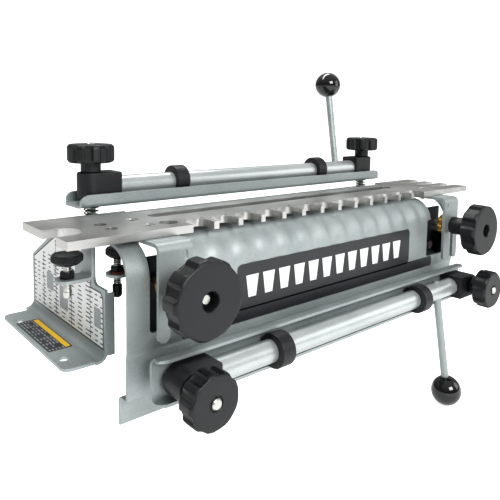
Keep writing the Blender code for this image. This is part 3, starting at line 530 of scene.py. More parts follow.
# %% Print tree: rows of short bars
def print_tree():
    """A grid of thin bars of uneven length, with a few left out, as a column of small print."""
    tree, given = new_tree("print_rows", [
        ("Columns", COUNT), ("Rows", COUNT), ("Wide", FLOAT), ("Tall", FLOAT), ("Bar", FLOAT),
        ("Thick", FLOAT), ("Keep", FLOAT), ("Seed", COUNT), ("Material", MATERIAL)])
    grid = add(tree, "GeometryNodeMeshGrid", {
        "Size X": given["Wide"], "Size Y": given["Tall"],
        "Vertices X": given["Columns"], "Vertices Y": given["Rows"]})
    step = add(tree, "ShaderNodeMath", {0: given["Wide"], 1: given["Columns"]}, operation="DIVIDE")
    size = add(tree, "ShaderNodeCombineXYZ", {0: step.outputs[0], 1: given["Bar"], 2: given["Thick"]})
    bar = add(tree, "GeometryNodeMeshCube", {"Size": size.outputs[0]})
    chance = add(tree, "FunctionNodeRandomValue", {"Probability": given["Keep"], "Seed": given["Seed"]},
                 data_type="BOOLEAN")
    length = add(tree, "FunctionNodeRandomValue", {2: 0.45, 3: 1.0, "Seed": given["Seed"]})
    scale = add(tree, "ShaderNodeCombineXYZ", {0: length.outputs[1], 1: 1.0, 2: 1.0})
    many = add(tree, "GeometryNodeInstanceOnPoints", {
        "Points": grid.outputs[0], "Selection": chance.outputs[3], "Instance": bar.outputs[0],
        "Scale": scale.outputs[0]})
    close_tree(tree, many.outputs[0], given["Material"])
    return tree


PRINT = print_tree()
print("trees", [g.name for g in bpy.data.node_groups])


# %% [markdown]
# ## Stamped base
# One sheet of 2.5 mm steel is pressed over the top, round the shoulder, down the front, back
# and down again as the lip that hooks over the bench. Under the fingers the shoulder is pressed
# into scallops, so the bit can pass. The rule for them is a cosine along X, once per finger.

# %% Base sheet
SHEET = 2.5
BASE_HALF = 222.0
TOP_Z = box_mm("base_shell")[1].z
BASE_BACK = box_mm("base_shell")[1].y
PITCH = 25.4
NOTCHES = 13
FINGER_W = 5.0
FIRST_FINGER_X = -162.0 - FINGER_W / 2
PANEL_Y = -15.0
SHOULDER_R = 25.0
SCALLOP = 2.6
LIP_Z = box_mm("base_shell")[0].z


def base_path():
    """Outer face of the sheet from the rear edge to the lip, with how deep the scallops press."""
    arc_y = PANEL_Y + SHOULDER_R
    arc_z = TOP_Z - SHOULDER_R
    path = eased([(BASE_BACK, TOP_Z - 8), (BASE_BACK, TOP_Z), (arc_y + 9, TOP_Z)], 3.5)
    press = [0.0] * len(path)
    steps = 20
    for i in range(steps + 1):
        ang = math.pi / 2 * (1 + i / steps)
        path.append(Vector((arc_y + SHOULDER_R * math.cos(ang), arc_z + SHOULDER_R * math.sin(ang))))
        press.append(math.sin(math.pi * (6 * i / steps + 1) / 8))
    for i in range(1, 6):
        z = arc_z - 15.0 * i / 5
        path.append(Vector((PANEL_Y, z)))
        press.append(math.sin(math.pi * (7 + i / 5) / 8))
    set_back = PANEL_Y + 1.2
    tail = eased([(PANEL_Y, 40), (PANEL_Y, 17.5), (set_back, 14.5), (set_back, -20), (-SHEET, -20),
                  (-SHEET, LIP_Z)], [0, 8, 8, 3.8, 1.2, 0])
    path += tail
    press += [0.0] * len(tail)
    return path, press


def base_stations():
    """Places along X; twelve to a pitch where the scallops are."""
    stations = [-BASE_HALF, -BASE_HALF + 0.8]
    per = 12
    stations += [FIRST_FINGER_X + PITCH * i / per for i in range(NOTCHES * per + 1)]
    stations += [BASE_HALF - 0.8, BASE_HALF]
    return stations


def make_base():
    path, press = base_path()
    normals = normals_2d(path)
    bm = bmesh.new()
    rings = []
    for x in base_stations():
        phase = (x - FIRST_FINGER_X) / PITCH
        wave = 0.5 - 0.5 * math.cos(2 * math.pi * phase) if 0 <= phase <= NOTCHES else 0.0
        outer = []
        inner = []
        for p, n, k in zip(path, normals, press):
            q = p + n * (SCALLOP * k * wave)
            outer.append(q)
            inner.append(q + n * SHEET)
        loop = outer + list(reversed(inner))
        rings.append([bm.verts.new((x, q.x, q.y)) for q in loop])
    count = len(rings[0])
    for a, b in zip(rings, rings[1:]):
        for i in range(count):
            j = (i + 1) % count
            bm.faces.new((a[i], a[j], b[j], b[i]))
    for ring in (rings[0], rings[-1]):
        for i in range(count // 2 - 1):
            bm.faces.new((ring[i], ring[i + 1], ring[count - 2 - i], ring[count - 1 - i]))
    bmesh.ops.recalc_face_normals(bm, faces=bm.faces)
    shell = raw(bm, "stamped_base")
    cutters = []
    for _, side in SIDES:
        low = rounded_box(165, 204, 30, 73, 3)
        cutters.append(on_side(prism([(z, x) for x, z in low], PANEL_Y - 9, PANEL_Y + 9, "Y"), side))
        high = rounded_box(172, 204, PANEL_Y - 9, 22, 3)
        cutters.append(on_side(prism(high, 71.5, TOP_Z + 9), side))
        cutters.append(on_side(prism([(z, x) for x, z in circle(4.15, 32, 193.5, 1.0)], -20, -7, "Y"), side))
        cutters.append(on_side(prism(circle(4.15, 32, 193.5, 106.0), TOP_Z - 9, TOP_Z + 5), side))
    carve(shell, cutters)
    dress(shell, POWDER, "base", ["base_shell"], 40)
    print("base faces", len(shell.data.polygons))


make_base()


# %% [markdown]
# ## Side plates
# Each side plate is welded under the top and folds outward into the foot that is screwed to
# the bench. Its front edge is turned in as a stiff flange, which runs round the bend.

# %% Side plates with their feet
FOOT_OUT = 254.0
PLATE_TOP = TOP_Z - SHEET - 0.3


def make_side_plate(label, side):
    bend = 9.0
    inside = BASE_HALF - SHEET
    section = eased([(FOOT_OUT, 0.0), (inside, 0.0), (inside, PLATE_TOP)], bend, 8)
    outline = [(z, x) for x, z in strip(section, -SHEET)]
    sheet = prism(outline, 21, 177, "Y")
    obj = raw(on_side(sheet, side), label + "_side_plate")
    cutters = []
    front = eased([(10, 57), (42, 57), (42, 120)], [0, 6, 0])
    front_cut = [tuple(p) for p in front] + [(10, 120)]
    cutters.append(on_side(prism(front_cut, 200, 230, "X"), side))
    rear_cut = [(108, 120), (108, 93.3), (177, 55), (190, 55), (190, 120)]
    cutters.append(on_side(prism(rear_cut, 200, 230, "X"), side))
    for y0, y1, turn in ((15, 23, 1), (168, 185, -1)):
        cutters.append(on_side(prism([(229.5, y0), (260, y0), (260, y1), (229.5, y1)], -5, 12), side))
    for y in (43.0, 144.0):
        cutters.append(on_side(prism(circle(4.0, 40, 246, y), -5, 8), side))
    carve(obj, cutters)
    corner = []
    for y, turn in ((23, 1), (168, -1)):
        r = 7.0
        pts = [(FOOT_OUT + 1, y - turn), (FOOT_OUT - r, y - turn), (FOOT_OUT - r, y)]
        for i in range(1, 9):
            ang = math.pi / 2 * (1 - i / 8)
            pts.append((FOOT_OUT - r + r * math.cos(ang), y + turn * (r - r * math.sin(ang))))
        pts.append((FOOT_OUT + 1, y + turn * r))
        corner.append(on_side(prism(pts, -5, 8), side))
    carve(obj, corner)
    inner = prism([(5, 214), (54, 214), (54, 219.8), (5, 219.8)], 21, 21 + SHEET, "Y")
    seam = prism([(46, PLATE_TOP - SHEET), (104, PLATE_TOP - SHEET), (104, PLATE_TOP), (46, PLATE_TOP)],
                 205.5, 220.5, "X")
    carve(obj, [on_side(inner, side), on_side(seam, side)], "UNION")
    soften(obj, 0.35, 50)
    dress(obj, POWDER, "base", [label + "_foot_plate"], 40)


for label, side in SIDES:
    make_side_plate(label, side)


# %% [markdown]
# ## Finger template
# A milled aluminium plate. The bit follows its thirteen notches, and its edges are broken with
# a small chamfer. The outline is drawn once and pushed through; slots and holes are cut after.

# %% Template plate
TPL_LOW = box_mm("template")[0]
TPL_HIGH = box_mm("template")[1]
NOTCH_W = PITCH - FINGER_W
SCREW_SEATS = {"left_bracket_screw": (-191.0, 9.0), "rear_bracket_screw": (-191.0, 36.0),
               "right_bracket_screw": (191.0, 9.0)}


def template_outline():
    points = [(TPL_LOW.x, TPL_LOW.y)]
    r = 6.0
    for k in range(NOTCHES):
        x = -162.0 + k * PITCH
        rear = TPL_LOW.y + 18.0
        points.append((x, TPL_LOW.y))
        for quarter, cx in ((2, x + r), (1, x + NOTCH_W - r)):
            for i in range(9):
                ang = (quarter - i / 8) * math.pi / 2
                points.append((cx + r * math.cos(ang), rear - r + r * math.sin(ang)))
        points.append((x + NOTCH_W, TPL_LOW.y))
    points.append((TPL_HIGH.x, TPL_LOW.y))
    for low, high in ((7.0, 17.0), (29.0, 39.0), (51.0, 61.0)):
        half = (high - low) / 2
        points.append((TPL_HIGH.x, low))
        for i in range(17):
            ang = -math.pi / 2 - math.pi * i / 16
            points.append((TPL_HIGH.x - 38 + half * math.cos(ang), low + half + half * math.sin(ang)))
        points.append((TPL_HIGH.x, high))
    recess_y = 65.8
    points += [(TPL_HIGH.x, TPL_HIGH.y), (186.0, TPL_HIGH.y), (186.0, recess_y), (-176.5, recess_y),
               (-176.5, TPL_HIGH.y), (TPL_LOW.x, TPL_HIGH.y)]
    for i in range(25):
        ang = math.pi / 2 - math.pi * i / 24
        points.append((TPL_LOW.x + 11 + 13 * math.cos(ang), 22.5 + 13.5 * math.sin(ang)))
    points.insert(-25, (TPL_LOW.x, 36.0))
    points.append((TPL_LOW.x, 9.0))
    return points


def make_template():
    low, high = TPL_LOW.z, TPL_HIGH.z
    obj = raw(prism(template_outline(), low, high), "finger_template")
    holes = [(-220.0, 32.0, 5.0), (-220.0, 13.5, 5.0), (-173.0, 9.0, 7.5)]
    holes += [(FIRST_FINGER_X + k * PITCH, 11.0, 1.6) for k in range(1, NOTCHES)]
    cutters = [prism(rounded_box(-172, 167, 35, 49, 6.9, 10), low - 3, high + 3)]
    cutters.append(merged(*[prism(circle(r, 40 if r > 2 else 20, x, y), low - 3, high + 3)
                            for x, y, r in holes]))
    seats = []
    for x, y in SCREW_SEATS.values():
        seat = turned([(2.7, low - 1), (2.7, high - 3.6), (5.3, high - 0.6), (5.3, high + 1)])
        seats.append(shifted(seat, x, y))
    cutters.append(merged(*seats))
    carve(obj, cutters)
    soften(obj, 0.3, 40)
    dress(obj, ALUMINIUM, "template", ["template"])
    print("template faces", len(obj.data.polygons))


def make_screw(node, x, y):
    """Countersunk screw with a hexagon socket."""
    low = box_mm(node)[0].z
    top = box_mm(node)[1].z
    rings = [(2.0, low), (2.4, low + 0.5), (2.4, top - 3.3), (4.9, top - 0.6), (5.0, top - 0.3), (4.8, top)]
    obj = raw(turned(rings, 40), node + "_head")
    carve(obj, [prism(circle(1.9, 6), top - 2.4, top + 1)])
    obj.data.transform(Matrix.Translation(Vector((x, y, 0)) * MM))
    dress(obj, ZINC, "template", [node], 30)


make_template()
for node, (x, y) in SCREW_SEATS.items():
    make_screw(node, x, y)


# %% [markdown]
# ## Fork brackets
# A 3 mm sheet bent once: the flange screws under the template, and the fork hangs over its
# stud, with rounded prongs. A small pressed dimple sits by the bend.

# %% Brackets
BRK_X = 191.0
BRK_HALF = 14.5
STUD_Z = 67.0


def make_fork(label, side):
    top = TPL_LOW.z - 0.3
    low = box_mm(label + "_bracket")[0]
    path = eased([Vector(p) for p in [(46.0, top), (low.y, top), (low.y, low.z)]], 6.0, 8)
    body = prism(strip(path, 3.0), BRK_X - BRK_HALF, BRK_X + BRK_HALF, "X")
    obj = raw(on_side(body, side), label + "_fork")
    slot = [(BRK_X + 5 * math.cos(math.pi * i / 20), STUD_Z + 5 * math.sin(math.pi * i / 20))
            for i in range(21)]
    slot += [(BRK_X - 5, low.z - 5), (BRK_X + 5, low.z - 5)]
    cutters = [on_side(prism([(z, x) for x, z in slot], low.y - 4, low.y + 8, "Y"), side)]
    prong = (BRK_HALF - 5) / 2
    for centre in (BRK_X - 5 - prong, BRK_X + 5 + prong):
        ends = []
        for turn in (-1, 1):
            edge = centre + turn * (prong + 0.01)
            pts = [(low.z - 1, edge), (low.z + prong, edge)]
            for i in range(1, 9):
                ang = math.pi / 2 * i / 8
                pts.append((low.z + prong - prong * math.sin(ang), centre + turn * prong * math.cos(ang)))
            pts.append((low.z - 1, centre))
            ends.append(on_side(prism(pts, low.y - 4, low.y + 8, "Y"), side))
        cutters.append(merged(*ends))
    rows = [y for x, y in SCREW_SEATS.values() if x * side > 0]
    cutters.append(merged(*[prism(circle(2.7, 24, side * BRK_X, y), top - 9, top + 5) for y in rows]))
    dimple = bmesh.new()
    bmesh.ops.create_uvsphere(dimple, u_segments=24, v_segments=12, radius=1.0)
    bmesh.ops.transform(dimple, verts=dimple.verts, matrix=Matrix.Diagonal((2.3, 1.3, 4.5, 1)))
    cutters.append(shifted(dimple, side * 182.5, low.y - 0.3, 89.0))
    carve(obj, cutters)
    soften(obj, 0.5, 50)
    dress(obj, POWDER, "template", [label + "_bracket"], 40)


for label, side in SIDES:
    make_fork(label, side)
print("forks done")


# %% [markdown]
# ## Knobs
# The knobs are moulded. Each blank is turned with a crowned rim and a soft edge, and the flute
# tree presses nine finger scoops into it. They fade out before they reach the face, so the
# face keeps a round rim. The hub is turned with the head, so no joint shows.

# %% Big knobs and small knobs
def knob_blank(head_r, face_r, neck_r, neck_low, head_low, top, bore, pocket):
    """Half section of a knob with a deep bore in its face; pocket is (radius, depth)."""
    rim = head_r - face_r
    rings = [(bore, neck_low), (neck_r - 0.5, neck_low), (neck_r, neck_low + 0.6), (neck_r, head_low - 1.0)]
    rings += [(neck_r + 0.5, head_low - 0.3), (neck_r + 1.5, head_low)]
    rings += [(neck_r + (face_r - neck_r) * t, head_low) for t in (0.3, 0.55, 0.8, 1.0)]
    for i in range(1, 9):
        ang = math.pi / 2 * i / 8
        rings.append((face_r + rim * math.sin(ang), head_low + 3.2 * (1 - math.cos(ang))))
    span_low = head_low + 3.2
    span_high = top - 4.0
    rings += [(head_r, span_low + (span_high - span_low) * i / 6) for i in range(1, 7)]
    for i in range(1, 9):
        ang = math.pi / 2 * i / 8
        rings.append((face_r + rim * math.cos(ang), span_high + 4.0 * math.sin(ang)))
    r, deep = pocket
    rings += [(face_r * 0.9, top), (face_r * 0.6, top), (r + 0.6, top), (r, top - 0.6), (r, top - deep)]
    rings += [(bore, top - deep), (bore, neck_low + 0.01)]
    return rings


def make_knob(name, node, body, rings, head_r, face_r, head_low, top, depth, matrix):
    blank = raw(turned(rings, 180), name)
    obj = grown(FLUTES, name, {
        "Flutes": 9.0, "Depth": depth * MM, "Inner": (face_r - 3) * MM, "Outer": (head_r - 0.4) * MM,
        "Low": (head_low - 1.0) * MM, "High": top * MM, "Fade": 3.6 * MM}, NYLON, blank)
    obj.data.transform(Matrix.Scale(1 / MM, 4))
    obj.data.transform(matrix)
    obj.data.transform(Matrix.Scale(MM, 4))
    dress(obj, NYLON, body, [node], 40)
    return obj


for label, side in SIDES:
    node = label + "_bracket_knob"
    low, high = box_mm(node)
    length = high.y - low.y
    rings = knob_blank(28.5, 25.0, 10.0, 0.0, length - 18.0, length, 4.05, (7.0, 10.0))
    place = Matrix.Translation((side * BRK_X, high.y, STUD_Z)) @ TO_FRONT
    make_knob(node + "_moulding", node, label + "_bracket_knob", rings, 28.5, 25.0,
              length - 18.0, length, 3.4, place)

STUD_X = 193.5
CLAMPS = {
    "top": Matrix.Translation((0, 106.0, box_mm("top_clamp_bar")[0].z)),
    "front": Matrix.Translation((0, box_mm("front_clamp_bar")[1].y, 1.0)) @ TO_FRONT,
}
for which, frame_matrix in CLAMPS.items():
    for label, side in SIDES:
        node = f"{which}_{label}_knob"
        rings = knob_blank(20.7, 17.5, 8.8, 30.1, 38.5, 55.0, 4.05, (5.2, 1.2))
        place = frame_matrix @ Matrix.Translation((side * STUD_X, 0, 0))
        make_knob(node + "_moulding", node, node, rings, 20.7, 17.5, 38.5, 55.0, 2.5, place)
print("knobs done")


# %% [markdown]
# ## Clamp bars, blocks, rods and levers
# Both clamps are the same set of parts, drawn once with Z pointing away from the work. One
# matrix sets the top one upright and another turns the front one forward.

# %% Bars
ROD_UP = 15.8
ROD_R = 9.5
LEVER_X = 141.0
LEVER_LEAN = 9.0
BALL_UP = ROD_UP + 109.0


def set_in(obj, which):
    obj.data.transform(Matrix.Scale(1 / MM, 4))
    obj.data.transform(CLAMPS[which])
    obj.data.transform(Matrix.Scale(MM, 4))
    return obj


def make_bar(which):
    half_y = 17.5
    tall = 11.5
    path = eased([Vector(p) for p in [(half_y, tall), (half_y, 0), (-half_y, 0), (-half_y, tall)]], 3.6, 8)
    section = strip(path, -2.5)
    obj = raw(prism(section, -212.0, 212.0, "X"), which + "_bar_channel")
    cutters = []
    for _, side in SIDES:
        r = 10.0
        pts = [(tall + 1, 213.0), (tall + 1, 212.0 - r), (tall, 212.0 - r)]
        for i in range(1, 13):
            ang = math.pi / 2 * (1 - i / 12)
            pts.append((tall - r + r * math.sin(ang), 212.0 - r + r * math.cos(ang)))
        pts.append((tall - r, 213.0))
        cutters.append(on_side(prism(pts, -25, 25, "Y"), side))
        for turn in (-1, 1):
            c = half_y - 6.0
            pts = [(213.0, turn * (half_y + 1)), (206.0, turn * (half_y + 1)), (206.0, turn * half_y)]
            for i in range(1, 9):
                ang = math.pi / 2 * (1 - i / 8)
                pts.append((206.0 + 6.0 * math.cos(ang), turn * (c + 6.0 * math.sin(ang))))
            pts.append((213.0, turn * c))
            cutters.append(on_side(prism(pts, -3, 14), side))
        cutters.append(prism(circle(4.6, 32, side * STUD_X, 0), -3, 6))
    carve(obj, cutters)
    soften(obj, 0.4, 50)
    set_in(obj, which)
    dress(obj, POWDER, which + "_bar", [which + "_clamp_bar"], 40)


# %% Blocks, rod and cams
def make_block(which, label, side):
    """Moulded block: round about the stud, square where it takes the rod."""
    w = 12.3
    x_in = STUD_X - 25.0
    points = [(x_in, -w), (STUD_X, -w)]
    for i in range(1, 24):
        ang = -math.pi / 2 + math.pi * i / 24
        points.append((STUD_X + w * math.cos(ang), w * math.sin(ang)))
    points += [(STUD_X, w), (x_in, w)]
    name = f"{which}_{label}_block"
    obj = raw(on_side(prism(points, 6.5, 29.8), side), name + "_moulding")
    soften(obj, 1.4, 50)
    boss = turned([(10.2, 28.0), (10.2, 29.7), (9.9, 29.95)], 48)
    socket = prism(circle(ROD_R + 0.05, 48, 0, ROD_UP), x_in - 5, x_in + 12, "X")
    bore = prism(circle(4.05, 32, STUD_X, 0), 3, 35)
    carve(obj, [shifted(boss, side * STUD_X)], "UNION")
    carve(obj, [on_side(socket, side), on_side(bore, side)])
    set_in(obj, which)
    dress(obj, NYLON, which + "_carriage", [name], 40)


def lever_turned(bm, which):
    """A released lever leans; the front one also hangs a quarter turn further about the rod."""
    degrees = -LEVER_LEAN
    if which == "front":
        degrees += 90.0
    turn = Matrix.Translation((0, 0, ROD_UP)) @ Matrix.Rotation(math.radians(degrees), 4, "X")
    return moved(bm, turn @ Matrix.Translation((0, 0, -ROD_UP)))


def make_cam_parts(which):
    half = STUD_X - 25.0 + 11.5
    rod = raw(prism(circle(ROD_R, 64, 0, ROD_UP), -half, half, "X"), which + "_cam_tube")
    hole = prism(circle(4.02, 32, LEVER_X, 0), ROD_UP - 15, ROD_UP + 15)
    carve(rod, [lever_turned(hole, which)])
    set_in(rod, which)
    dress(rod, ROD_SILVER_AND_HIGHLIGHT, which + "_cam", [which + "_cam_rod"], 40)
    for label, side in SIDES:
        node = f"{which}_{label}_cam"
        ring = prism(circle(14.5, 72, 0, ROD_UP + 1.5), side * 102.0 - 7, side * 102.0 + 7, "X")
        obj = raw(ring, node + "_ring")
        soften(obj, 0.9, 50)
        carve(obj, [prism(circle(ROD_R + 0.02, 64, 0, ROD_UP), side * 102.0 - 9, side * 102.0 + 9, "X")])
        set_in(obj, which)
        dress(obj, NYLON, which + "_cam", [node], 40)
    low = ROD_UP - ROD_R - 1.5
    rings = [(3.2, low), (3.8, low + 0.3), (4.0, low + 0.9), (4.0, BALL_UP - 10)]
    lever = raw(lever_turned(shifted(turned(rings, 48), LEVER_X), which), which + "_lever_rod")
    set_in(lever, which)
    dress(lever, POWDER, which + "_cam", [which + "_lever"], 40)
    r = 15.9
    flat = 5.2
    start = math.acos(flat / r)
    arc = [(r * math.cos(a), BALL_UP + r * math.sin(a))
           for a in (-start + (start + math.pi / 2) * i / 40 for i in range(40))]
    rings = [(4.02, BALL_UP - r + 6.3), (4.02, arc[0][1] + 0.2), (4.5, arc[0][1])] + arc + [(0, BALL_UP + r)]
    ball = raw(lever_turned(shifted(turned([(0, BALL_UP - r + 6.3)] + rings, 64), LEVER_X), which),
               which + "_ball_handle")
    set_in(ball, which)
    dress(ball, PHENOLIC, which + "_cam", [which + "_lever_ball"], 50)


# %% [markdown]
# ### Studs and springs
# The studs are threaded at 18 threads to the inch. The thread is a coil with the same pitch,
# half sunk in the core. The springs that lift the bar are open coils of 1.2 mm wire.

# %% Studs, threads and springs
THREAD = 25.4 / 18


def threaded(name, body, mat, core_r, low, high, matrix):
    """A raised thread wound as a coil about Z, riding on its body; the core it sits on is made apart."""
    turns = (high - low) / THREAD
    obj = coil(name, core_r - 0.12, high - low, turns, 0.42, mat,
               matrix @ Matrix.Translation((0, 0, low)), 16)
    dress(obj, mat, body)
    return obj


def make_stud(which, label, side):
    node = f"{which}_{label}_stud"
    place = CLAMPS[which] @ Matrix.Translation((side * STUD_X, 0, 0))
    threaded(node + "_thread", "base", ZINC, 3.75, -12.5, -1.0, place)
    spring = f"{which}_{label}_spring"
    low, high = -13.2 + 0.9, -0.9
    obj = coil(spring + "_coil", 6.0, high - low, 3.5, 0.6, OXIDE,
               place @ Matrix.Translation((0, 0, low)), 32)
    dress(obj, OXIDE, "base", [spring])


for which in CLAMPS:
    make_bar(which)
    make_cam_parts(which)
    for label, side in SIDES:
        make_block(which, label, side)
        make_stud(which, label, side)
print("clamps done")


# %% [markdown]
# ## Brass stop nuts and depth gauges
# The thumb nuts are turned brass with a knurled rim. Each depth gauge is a bent ear with a
# threaded screw, a hexagon lock nut and a knurled head.

# %% Stop nuts
for label, side in SIDES:
    node = label + "_stop_nut"
    low, high = box_mm(node)
    deep = high.y - low.y
    r = (high.z - low.z) / 2
    rings = [(4.05, 0), (r - 2.2, 0), (r - 0.5, 1.4), (r - 0.35, 2.0), (r - 0.35, deep - 2.0),
             (r - 0.5, deep - 1.4), (r - 2.2, deep), (4.05, deep), (4.05, 0.01)]
    place = Matrix.Translation((side * BRK_X, high.y, STUD_Z)) @ TO_FRONT
    core = raw(moved(turned(rings, 64), place), node + "_turning")
    dress(core, BRASS, node, [node], 30)
    ridges = knurl(node + "_knurl", r - 0.45, 60, deep - 3.4, 0.6, BRASS,
                   place @ Matrix.Translation((0, 0, deep / 2)))
    dress(ridges, BRASS, node, angle=30)


# %% Depth gauges
GAUGE_Y = 26.0


EAR_R = 9.0
EAR_Z = {"outer": 70.5, "inner": 68.0}


def make_ear(which, gauge_x, riser_x, ledge):
    """Bent strip with a rounded ear; all bends have an inside radius."""
    node = which + "_gauge_bracket"
    top = box_mm(node)[1].z
    ear_z = EAR_Z[which]
    ear_end = gauge_x - EAR_R
    riser = riser_x + SHEET / 2
    path = [(ear_end, ear_z - SHEET), (riser, ear_z - SHEET), (riser, top), (ledge, top)]
    line = eased([Vector(p) for p in path], [0, 4.5, 2.0, 0], 6)
    section = [(z, x) for x, z in strip(line, SHEET)]
    obj = raw(prism(section, GAUGE_Y - EAR_R, GAUGE_Y + EAR_R, "Y"), which + "_gauge_ear")
    r = EAR_R
    cuts = []
    for turn in (-1, 1):
        pts = [(ear_end - 1, GAUGE_Y + turn * (r + 1)), (gauge_x, GAUGE_Y + turn * (r + 1)),
               (gauge_x, GAUGE_Y + turn * r)]
        for i in range(1, 13):
            ang = math.pi / 2 * (1 + i / 12)
            pts.append((gauge_x + r * math.cos(ang), GAUGE_Y + turn * r * math.sin(ang)))
        pts.append((ear_end - 1, GAUGE_Y))
        cuts.append(prism(pts, ear_z - 6, ear_z + 4))
    carve(obj, [*cuts, prism(circle(3.05, 32, gauge_x, GAUGE_Y), ear_z - 9, ear_z + 9)])
    soften(obj, 0.4, 50)
    dress(obj, POWDER, "base", [node], 40)


def make_gauge(which, x, head_r):
    screw = which + "_depth_screw"
    low, high = box_mm(screw)
    tip_r = {"outer": 3.2, "inner": 3.8}[which]
    ear_z = EAR_Z[which]
    tip_top = ear_z - SHEET - 7.0
    head = box_mm(which + "_depth_knob")[0].z
    shape = [(0, low.z), (tip_r * 0.5, low.z + 0.3), (tip_r * 0.85, low.z + 1.3), (tip_r, low.z + 3.0),
             (tip_r, tip_top - 0.4), (tip_r - 0.4, tip_top), (2.75, tip_top), (2.75, high.z)]
    obj = raw(shifted(turned(shape, 40), x, GAUGE_Y), screw + "_core")
    dress(obj, OXIDE if which == "inner" else ZINC, which + "_depth_screw", [screw], 35)
    place = Matrix.Translation((x, GAUGE_Y, 0))
    threaded(screw + "_thread", which + "_depth_screw", ZINC, 2.72, tip_top + 1, head - 0.5, place)
    knob = which + "_depth_knob"
    low, high = box_mm(knob)
    tall = high.z - low.z
    rings = [(0, 0), (head_r - 4.0, 0), (head_r - 3.0, 0.4), (head_r - 0.5, 2.6), (head_r - 0.35, 3.2),
             (head_r - 0.35, tall - 1.2), (head_r - 1.0, tall - 0.2), (head_r - 2.4, tall), (0, tall)]
    obj = raw(shifted(turned(rings, 64), x, GAUGE_Y, low.z), knob + "_head")
    dress(obj, NYLON, which + "_depth_head", [knob], 35)
    ridges = knurl(knob + "_knurl", head_r - 0.45, 54, tall - 4.2, 0.6, NYLON,
                   Matrix.Translation((x, GAUGE_Y, low.z + 2.9 + (tall - 4.2) / 2)))
    dress(ridges, NYLON, which + "_depth_head", angle=30)


make_ear("outer", -249.0, -233.0, -223.0)
make_ear("inner", -209.0, -196.0, -185.0)
make_gauge("outer", -249.0, 11.5)
make_gauge("inner", -209.0, 9.0)
print("gauges done")


# %% [markdown]
# ## Labels
# The jig carries a black panel label, a settings chart on the left side plate and a caution
# strip on the foot. The words are left out: the panel shows a plain row of dovetails, and the
# chart and strip show short bars where the print would be.

# %% Label films
FILM = 0.12


def film(name, outline, mat, matrix, thick=FILM):
    """A thin film; its outline is drawn flat and pushed up by its thickness."""
    obj = raw(moved(prism(outline, 0.02, thick), matrix), name)
    dress(obj, mat, "base")
    return obj


ON_PANEL = Matrix.Translation((0, PANEL_Y, 0)) @ TO_FRONT
film("panel_label", rounded_box(-121, 129, 28, 67.5, 5), BLACK_FILM, ON_PANEL)
film("panel_label_band", rounded_box(-176.0, 176.0, 18.2, 29.5, 3), BLACK_FILM, ON_PANEL)


# %% Dovetail row tree
def dovetail_tree():
    tree, given = new_tree("dovetails", [("Count", COUNT), ("Pitch", FLOAT), ("Shape", "NodeSocketObject"),
                                         ("Material", MATERIAL)])
    step = add(tree, "ShaderNodeCombineXYZ", {0: given["Pitch"]})
    line = add(tree, "GeometryNodeMeshLine", {"Count": given["Count"], "Offset": step.outputs[0]})
    shape = add(tree, "GeometryNodeObjectInfo", {"Object": given["Shape"]})
    many = add(tree, "GeometryNodeInstanceOnPoints", {
        "Points": line.outputs[0], "Instance": shape.outputs["Geometry"]})
    close_tree(tree, many.outputs[0], given["Material"])
    return tree


DOVETAILS = dovetail_tree()


def dovetail_row(name, count, pitch, narrow, wide, tall, mat, matrix):
    tail = [(-narrow / 2, 0), (narrow / 2, 0), (wide / 2, tall), (-wide / 2, tall)]
    shape = raw(prism(tail, 0.0, 0.06), "tail")
    obj = grown(DOVETAILS, name, {"Count": count, "Pitch": pitch * MM, "Shape": shape}, mat)
    bpy.data.objects.remove(shape, do_unlink=True)
    obj.data.transform(Matrix.Scale(1 / MM, 4))
    obj.data.transform(matrix)
    obj.data.transform(Matrix.Scale(MM, 4))
    dress(obj, mat, "base")


dovetail_row("panel_dovetails", 12, 19.0, 8.5, 14.0, 19.0, WHITE_FILM,
             ON_PANEL @ Matrix.Translation((-104.5, 38.0, FILM)))


# %% Chart on the side plate
def print_block(name, x0, y0, wide, tall, columns, rows, bar, seed, mat, matrix, keep=0.85):
    obj = grown(PRINT, name, {
        "Columns": columns, "Rows": rows, "Wide": wide * MM, "Tall": tall * MM, "Bar": bar * MM,
        "Thick": 0.05 * MM, "Keep": keep, "Seed": seed}, mat)
    obj.data.transform(Matrix.Scale(1 / MM, 4))
    obj.data.transform(matrix @ Matrix.Translation((x0 + wide / 2, y0 + tall / 2, FILM + 0.03)))
    obj.data.transform(Matrix.Scale(MM, 4))
    return obj


ON_SIDE = Matrix(((0, 0, -1, -BASE_HALF), (-1, 0, 0, 0), (0, 1, 0, 0), (0, 0, 0, 1)))
chart_edge = [(-173, 9), (-24, 9), (-24, 50), (-28, 54), (-46, 54), (-46, 88), (-108, 88), (-173, 54)]
chart_face = [(-171.8, 10.2), (-25.2, 10.2), (-25.2, 49.5), (-28.5, 52.8), (-47.2, 52.8), (-47.2, 86.8),
              (-107.7, 86.8), (-171.8, 53.3)]
film("chart_border", chart_edge, BLACK_INK, ON_SIDE, 0.10)
film("chart_film", chart_face, WHITE_FILM, ON_SIDE, 0.13)
columns = [(-169.5, 20.0, 50.0), (-146.0, 26.0, 62.0), (-116.5, 30.0, 78.0), (-83.0, 32.0, 82.0),
           (-47.5 + 2.5, 18.0, 50.0)]
blocks = []
for i, (x0, wide, top) in enumerate(columns):
    low = 13.0
    tall = top - low
    rows = int(tall / 3.4)
    blocks.append(print_block(f"print{i}", x0, low, wide, tall, 3, rows, 1.0, 11 + i, BLACK_INK, ON_SIDE))
rules = [prism([(x, 11), (x + 0.7, 11), (x + 0.7, top), (x, top)], FILM + 0.01, FILM + 0.05)
         for x, top in ((-148.0, 62), (-118.4, 78), (-84.8, 86), (-47.6, 52))]
frames = []
